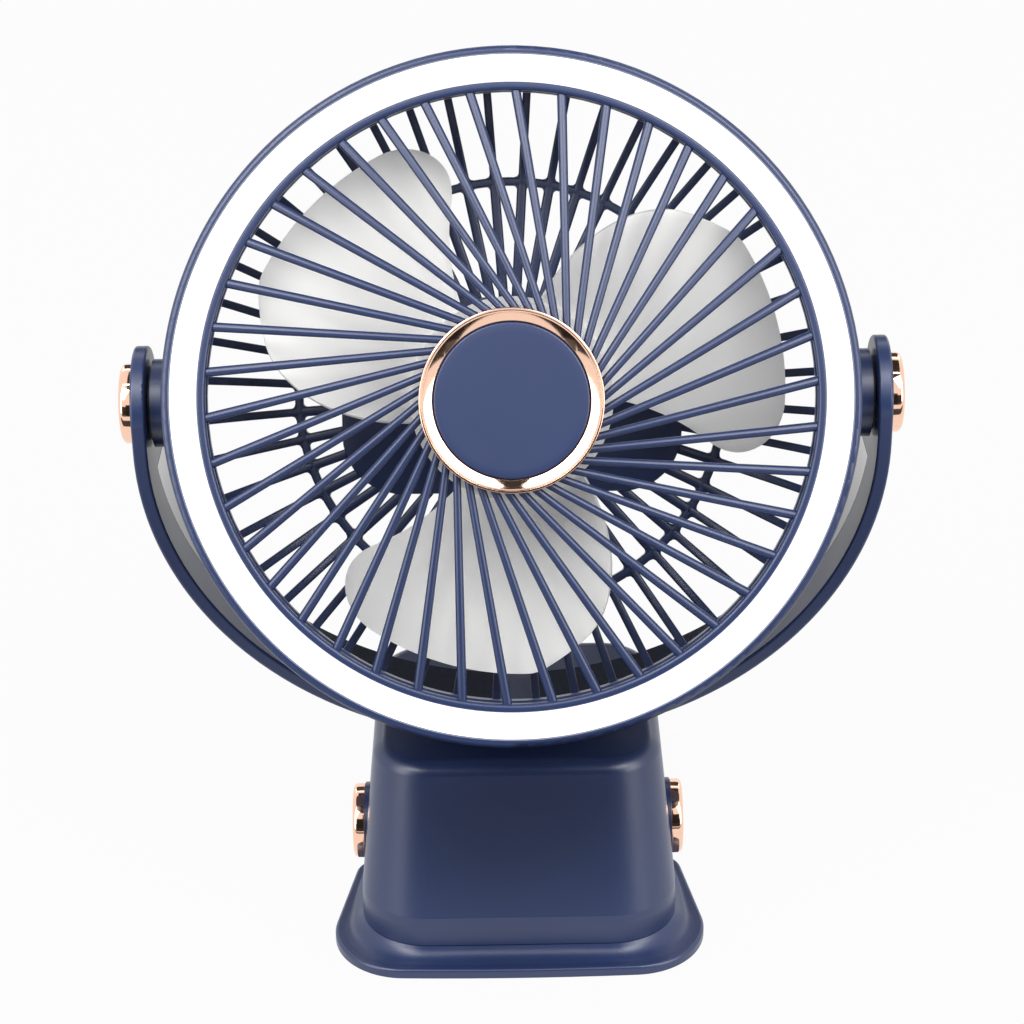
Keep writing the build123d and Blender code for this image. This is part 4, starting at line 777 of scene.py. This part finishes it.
def blade_point(along, across):
    """A point of a blade's middle sheet, from root to tip and from its leading to its trailing edge."""
    share = 1 - (1 - BLADE_ROOT_SHARE) * (1 - along) ** 2
    lead, trail = edge_angle(LEADING_EDGE, share), edge_angle(TRAILING_EDGE, share)
    clock = radians(lead + (trail - lead) * across)
    radius = BLADE_TIP * share
    middle = radians(BLADE_MIDDLE)
    outward, side = radius * cos(clock - middle), radius * sin(clock - middle)
    pitch = ROOT_PITCH + (TIP_PITCH - ROOT_PITCH) * (outward - PITCH_START) / (PITCH_END - PITCH_START)
    rise = BLADE_CROWN * (1 - (side / CROWN_HALF_WIDTH) ** 2) - pitch * side
    return Vector((radius * sin(clock), radius * cos(clock), rise)) * MM


class FAN_OT_impeller(bpy.types.Operator):
    """Hub and three twisted blades of the impeller"""

    bl_idname = "fan.impeller"
    bl_label = "Impeller"

    def execute(self, context):
        deselect()
        columns, rows = BLADE_GRID
        bpy.ops.mesh.primitive_grid_add(x_subdivisions=columns, y_subdivisions=rows, size=1)
        blade = bpy.context.object
        for vertex in blade.data.vertices:
            vertex.co = blade_point(vertex.co.y + 0.5, vertex.co.x + 0.5)
        apply_modifier(blade, "SOLIDIFY", thickness=BLADE_THICKNESS * MM, offset=0.0)
        round_edges(blade, BLADE_EDGE)
        deselect()
        blade.select_set(True)
        bpy.context.view_layer.objects.active = blade
        bpy.ops.object.mode_set(mode="EDIT")
        close_mesh()
        copy_round(blade, BLADE_COUNT)
        hub = turn("impeller_hub", rounded(IMPELLER_HUB), sides=128, capped=True)
        impeller = join("impeller", hub, blade)
        settle(impeller, HEAD_PLACE, "rotor", "fan_grey", ["fan_blade"])
        return {"FINISHED"}


# The pads' node, body, way that the grip faces, corner radius in millimetres and number of ribs.
PADS = (
    ("upper_jaw_pad", "column", -1, 6.0, 4),
    ("lower_jaw_pad", "base", 1, 6.0, 4),
    ("base_pad", "base", -1, 8.0, 9),
)
PAD_SKIN, PAD_INSET, PAD_EDGE, PAD_MARGIN = 0.3, 0.4, 0.25, 8
PAD_CORNER_STEPS = 8
PAD_RIB_SHARE = 0.55


class FAN_OT_pads(bpy.types.Operator):
    """The rubber pads of the clip's jaws and under the base"""

    bl_idname = "fan.pads"
    bl_label = "Pads"

    def execute(self, context):
        for node, body, grip, corner, ribs in PADS:
            low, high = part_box(node)
            width, depth, thick = high - low
            skin = PAD_SKIN * MM
            top = grip * (thick - skin)
            deselect()
            bpy.ops.mesh.primitive_plane_add(size=1)
            pad = context.object
            pad.scale = (width, depth, 1)
            bpy.ops.object.transform_apply()
            bpy.ops.object.mode_set(mode="EDIT")
            bpy.ops.mesh.select_all(action="SELECT")
            bpy.ops.mesh.bevel(offset=corner * MM, segments=PAD_CORNER_STEPS, affect="VERTICES")
            bpy.ops.mesh.extrude_region_move(TRANSFORM_OT_translate={"value": (0, 0, top)})
            bpy.ops.mesh.inset(thickness=PAD_INSET * MM, depth=0)
            close_mesh()
            round_edges(pad, PAD_EDGE)
            pieces = [pad]
            step = depth / (ribs + 1)
            for rib in range(ribs):
                deselect()
                bpy.ops.mesh.primitive_cube_add(size=1)
                bar = context.object
                bar.scale = (width - PAD_MARGIN * MM, step * PAD_RIB_SHARE, 2 * skin)
                bar.location = (0, (rib + 1) * step - depth / 2, top)
                bpy.ops.object.transform_apply()
                round_edges(bar, PAD_EDGE)
                pieces.append(bar)
            pad = join(f"{node}_rubber", *pieces)
            seat = low.z if grip > 0 else high.z
            place = Matrix.Translation(((low.x + high.x) / 2, (low.y + high.y) / 2, seat))
            settle(pad, place, body, "rubber", [node])
        return {"FINISHED"}


WIRE_SIDES = 16
WIRE_EDGE = 0.15
COIL_STEPS = 240


class FAN_OT_spring(bpy.types.Operator):
    """The clip's torsion spring, whose legs reach to the base and the column"""

    bl_idname = "fan.spring"
    bl_label = "Spring"

    def execute(self, context):
        sizes = context.scene.fan_spring
        radius = sizes.coil_radius

        def leave(rise, sign):
            """Where on the coil a leg with this rise leaves it, as an angle about the axle."""
            far = sqrt(sizes.reach ** 2 + rise ** 2)
            return atan2(rise, sizes.reach) + sign * acos(radius / far)

        start = leave(sizes.lower_rise, -1)
        sweep = start - leave(sizes.upper_rise, 1) + 2 * pi * sizes.turns
        width = sizes.pitch * sweep / (2 * pi)
        pieces = []
        for angle, side, rise in ((start, -1, sizes.lower_rise), (start - sweep, 1, sizes.upper_rise)):
            point = Vector((side * width / 2, radius * cos(angle), radius * sin(angle)))
            arc = radius * sweep
            way = Vector((width, arc * sin(angle), -arc * cos(angle))).normalized()
            run = sqrt(sizes.reach ** 2 + rise ** 2 - radius ** 2)
            facing = way.to_track_quat("Z", "Y").to_euler()
            deselect()
            bpy.ops.mesh.primitive_cylinder_add(
                vertices=WIRE_SIDES, radius=sizes.wire_radius, depth=run,
                location=point + way * side * run / 2, rotation=facing,
            )
            bpy.ops.object.transform_apply()
            round_edges(context.object, WIRE_EDGE)
            pieces.append(context.object)
            if side < 0:
                deselect()
                bpy.ops.mesh.primitive_circle_add(
                    vertices=WIRE_SIDES, radius=sizes.wire_radius, location=point, rotation=facing
                )
                bpy.ops.object.transform_apply()
                apply_modifier(
                    context.object, "SCREW", axis="X", angle=-sweep, screw_offset=width,
                    steps=COIL_STEPS, render_steps=COIL_STEPS, use_smooth_shade=True,
                )
                bpy.ops.object.mode_set(mode="EDIT")
                close_mesh()
                pieces.append(context.object)
        spring = join("clip_spring_wire", *pieces)
        axle = Vector(JOINTS["clip_open"]["pos_m"])
        settle(spring, Matrix.Translation((0, axle.y, axle.z)), None, "spring_steel", ["clip_spring"])
        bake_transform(spring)
        return {"FINISHED"}


class FAN_OT_finishes(bpy.types.Operator):
    """Finishes of the frame's own nodes"""

    bl_idname = "fan.finishes"
    bl_label = "Finishes"

    def execute(self, context):
        for node, piece in frame["nodes"].items():
            piece.data.materials.clear()
            piece.data.materials.append(finish(SLOTS[node]))
        return {"FINISHED"}


def seen_directly(nodes, links):
    """1 for camera, mirror-like and transmission rays, and 0 for rays that light a surface."""
    path = nodes.new("ShaderNodeLightPath")
    total = path.outputs["Is Camera Ray"]
    for output in ("Is Glossy Ray", "Is Transmission Ray"):
        largest = nodes.new("ShaderNodeMath")
        largest.operation = "MAXIMUM"
        links.new(total, largest.inputs[0])
        links.new(path.outputs[output], largest.inputs[1])
        total = largest.outputs[0]
    return total


FLOOR_SIZE = 8
FLOOR_WHITE = 0.96
SENSOR_WIDTH = 36
# Dark cards that shape the reflections: name, place, tilt, and width and height in metres.
CARDS = (
    ("front_card", (0.03, -1.1, 0.22), pi / 2, (1.5, 0.44)),
    ("floor_card", (0.03, -0.84, 0.002), 0, (1.3, 0.52)),
    ("near_card", (0, -0.3, 0.16), pi / 2, (0.28, 0.17)),
    ("foot_card", (0, -0.215, 0.0015), 0, (0.9, 0.15)),
    ("shade_card", (0, -0.049, 0.06), 0, (0.07, 0.028)),
    ("rear_card", (0, 0.5, 0.35), pi / 2, (0.5, 0.3)),
    ("ceiling_card", (0.15, 0.12, 1.4), 0, (0.8, 1.75)),
)
CARD_WITHOUT_SHADOW = "rear_card"
# Lamps: name, place, width and height in metres, and the setting that holds the power.
LAMPS = (
    ("left_lamp", (-0.5, -0.68, 1.12), (0.6, 0.7), "side_power"),
    ("right_lamp", (0.5, -0.68, 1.12), (0.6, 0.7), "side_power"),
    ("left_strip", (-1.05, -0.75, 0.5), (0.6, 1.1), "strip_power"),
    ("right_strip", (1.05, -0.75, 0.5), (0.6, 1.1), "strip_power"),
    ("top_lamp", (0, -0.2, 1.3), (0.9, 0.1), "top_power"),
    ("back_lamp", (0, 1.2, 0.8), (1.6, 0.7), "back_power"),
)
LAMP_TARGET = Vector((0, 0, 0.12))


def lay_floor():
    """A pale floor that is seen as white and keeps the fan's shadow."""
    deselect()
    bpy.ops.mesh.primitive_plane_add(size=FLOOR_SIZE)
    floor = bpy.context.object
    floor.name = "studio_floor"
    material, nodes, links, shader, _ = blank_material("studio_floor")
    shader.inputs["Base Color"].default_value = (0.4, 0.4, 0.4, 1)
    shader.inputs["Roughness"].default_value = 0.9
    shader.inputs["Specular IOR Level"].default_value = 0.1
    white = nodes.new("ShaderNodeEmission")
    mix = nodes.new("ShaderNodeMixShader")
    part = nodes.new("ShaderNodeMath")
    part.operation = "MULTIPLY"
    part.inputs[1].default_value = FLOOR_WHITE
    links.new(seen_directly(nodes, links), part.inputs[0])
    links.new(part.outputs[0], mix.inputs["Fac"])
    links.new(shader.outputs["BSDF"], mix.inputs[1])
    links.new(white.outputs["Emission"], mix.inputs[2])
    links.new(mix.outputs["Shader"], nodes["Material Output"].inputs["Surface"])
    floor.data.materials.append(material)


def stand_cards():
    """Dark cards, out of the camera's sight."""
    material, _, _, shader, _ = blank_material("studio_card")
    shader.inputs["Base Color"].default_value = (0.03, 0.03, 0.03, 1)
    shader.inputs["Roughness"].default_value = 0.9
    for name, place, tilt, size in CARDS:
        bpy.ops.mesh.primitive_plane_add(size=1, rotation=(tilt, 0, 0), location=place)
        card = bpy.context.object
        card.name = name
        card.scale = (*size, 1)
        bpy.ops.object.transform_apply()
        card.data.materials.append(material)
        card.visible_camera = False
        card.visible_shadow = name != CARD_WITHOUT_SHADOW


def hang_lamps(settings):
    """Soft lamps that point at the fan."""
    for name, place, size, setting in LAMPS:
        bpy.ops.object.light_add(type="AREA", location=place)
        lamp = bpy.context.object
        lamp.name = name
        lamp.data.shape = "RECTANGLE"
        lamp.data.size, lamp.data.size_y = size
        lamp.data.energy = getattr(settings, setting)
        lamp.visible_camera = False
        lamp.rotation_euler = (LAMP_TARGET - Vector(place)).to_track_quat("-Z", "Y").to_euler()


def light_surroundings(scene, settings):
    """White surroundings, which light the fan only softly."""
    world = scene.world or bpy.data.worlds.new("studio")
    scene.world = world
    world.use_nodes = True
    nodes, links = world.node_tree.nodes, world.node_tree.links
    backdrop = nodes["Background"]
    backdrop.inputs["Color"].default_value = (1, 1, 1, 1)
    strength = nodes.new("ShaderNodeMapRange")
    strength.inputs["To Min"].default_value = settings.ambient
    strength.inputs["To Max"].default_value = 1.0
    links.new(seen_directly(nodes, links), strength.inputs["Value"])
    links.new(strength.outputs["Result"], backdrop.inputs["Strength"])


def place_camera(scene, settings):
    """The camera at the photograph's viewing angle."""
    bpy.ops.object.camera_add(location=settings.camera_place)
    camera = bpy.context.object
    camera.name = "studio_camera"
    level = Matrix.Rotation(pi / 2 - settings.camera_pitch, 4, "X")
    lean = Matrix.Rotation(settings.camera_roll, 4, "Z")
    camera.rotation_euler = (level @ lean).to_euler()
    camera.data.lens = settings.camera_lens
    camera.data.sensor_width = SENSOR_WIDTH
    camera.data.clip_start = 0.01
    scene.camera = camera


class FAN_OT_stage(bpy.types.Operator):
    """Floor, cards, lamps, surroundings and camera"""

    bl_idname = "fan.stage"
    bl_label = "Stage"

    def execute(self, context):
        settings = context.scene.fan_stage
        lay_floor()
        stand_cards()
        hang_lamps(settings)
        light_surroundings(context.scene, settings)
        place_camera(context.scene, settings)
        context.scene.view_settings.view_transform = "Standard"
        return {"FINISHED"}


STEPS = (
    FAN_OT_finishes, FAN_OT_front_grille, FAN_OT_rear_grille, FAN_OT_light_ring, FAN_OT_hub_trim,
    FAN_OT_knobs, FAN_OT_impeller, FAN_OT_pads, FAN_OT_spring, FAN_OT_stage,
)


class FAN_PT_sidebar(bpy.types.Panel):
    """Lists the fan's settings and steps"""

    bl_label = "Clip-on fan"
    bl_idname = "FAN_PT_sidebar"
    bl_space_type = "VIEW_3D"
    bl_region_type = "UI"
    bl_category = "Fan"

    def draw(self, context):
        scene = context.scene
        for settings in (scene.fan_grille, scene.fan_finish, scene.fan_spring, scene.fan_stage):
            box = self.layout.box()
            for name in settings.__annotations__:
                box.prop(settings, name)
        for step in STEPS:
            self.layout.operator(step.bl_idname)


CLASSES = (
    FanGrilleSettings, FanFinishSettings, FanSpringSettings, FanStageSettings, *STEPS, FAN_PT_sidebar
)


def register():
    """Adds the fan's classes and settings."""
    for entry in CLASSES:
        bpy.utils.register_class(entry)
    bpy.types.Scene.fan_grille = PointerProperty(type=FanGrilleSettings)
    bpy.types.Scene.fan_finish = PointerProperty(type=FanFinishSettings)
    bpy.types.Scene.fan_spring = PointerProperty(type=FanSpringSettings)
    bpy.types.Scene.fan_stage = PointerProperty(type=FanStageSettings)


def unregister():
    """Takes the fan's classes and settings away."""
    del bpy.types.Scene.fan_grille, bpy.types.Scene.fan_finish, bpy.types.Scene.fan_spring
    del bpy.types.Scene.fan_stage
    for entry in reversed(CLASSES):
        bpy.utils.unregister_class(entry)


def main():
    """Builds the fan and its stage."""
    register()
    for step in STEPS:
        category, name = step.bl_idname.split(".")
        getattr(getattr(bpy.ops, category), name)()


if __name__ == "__main__":
    main()
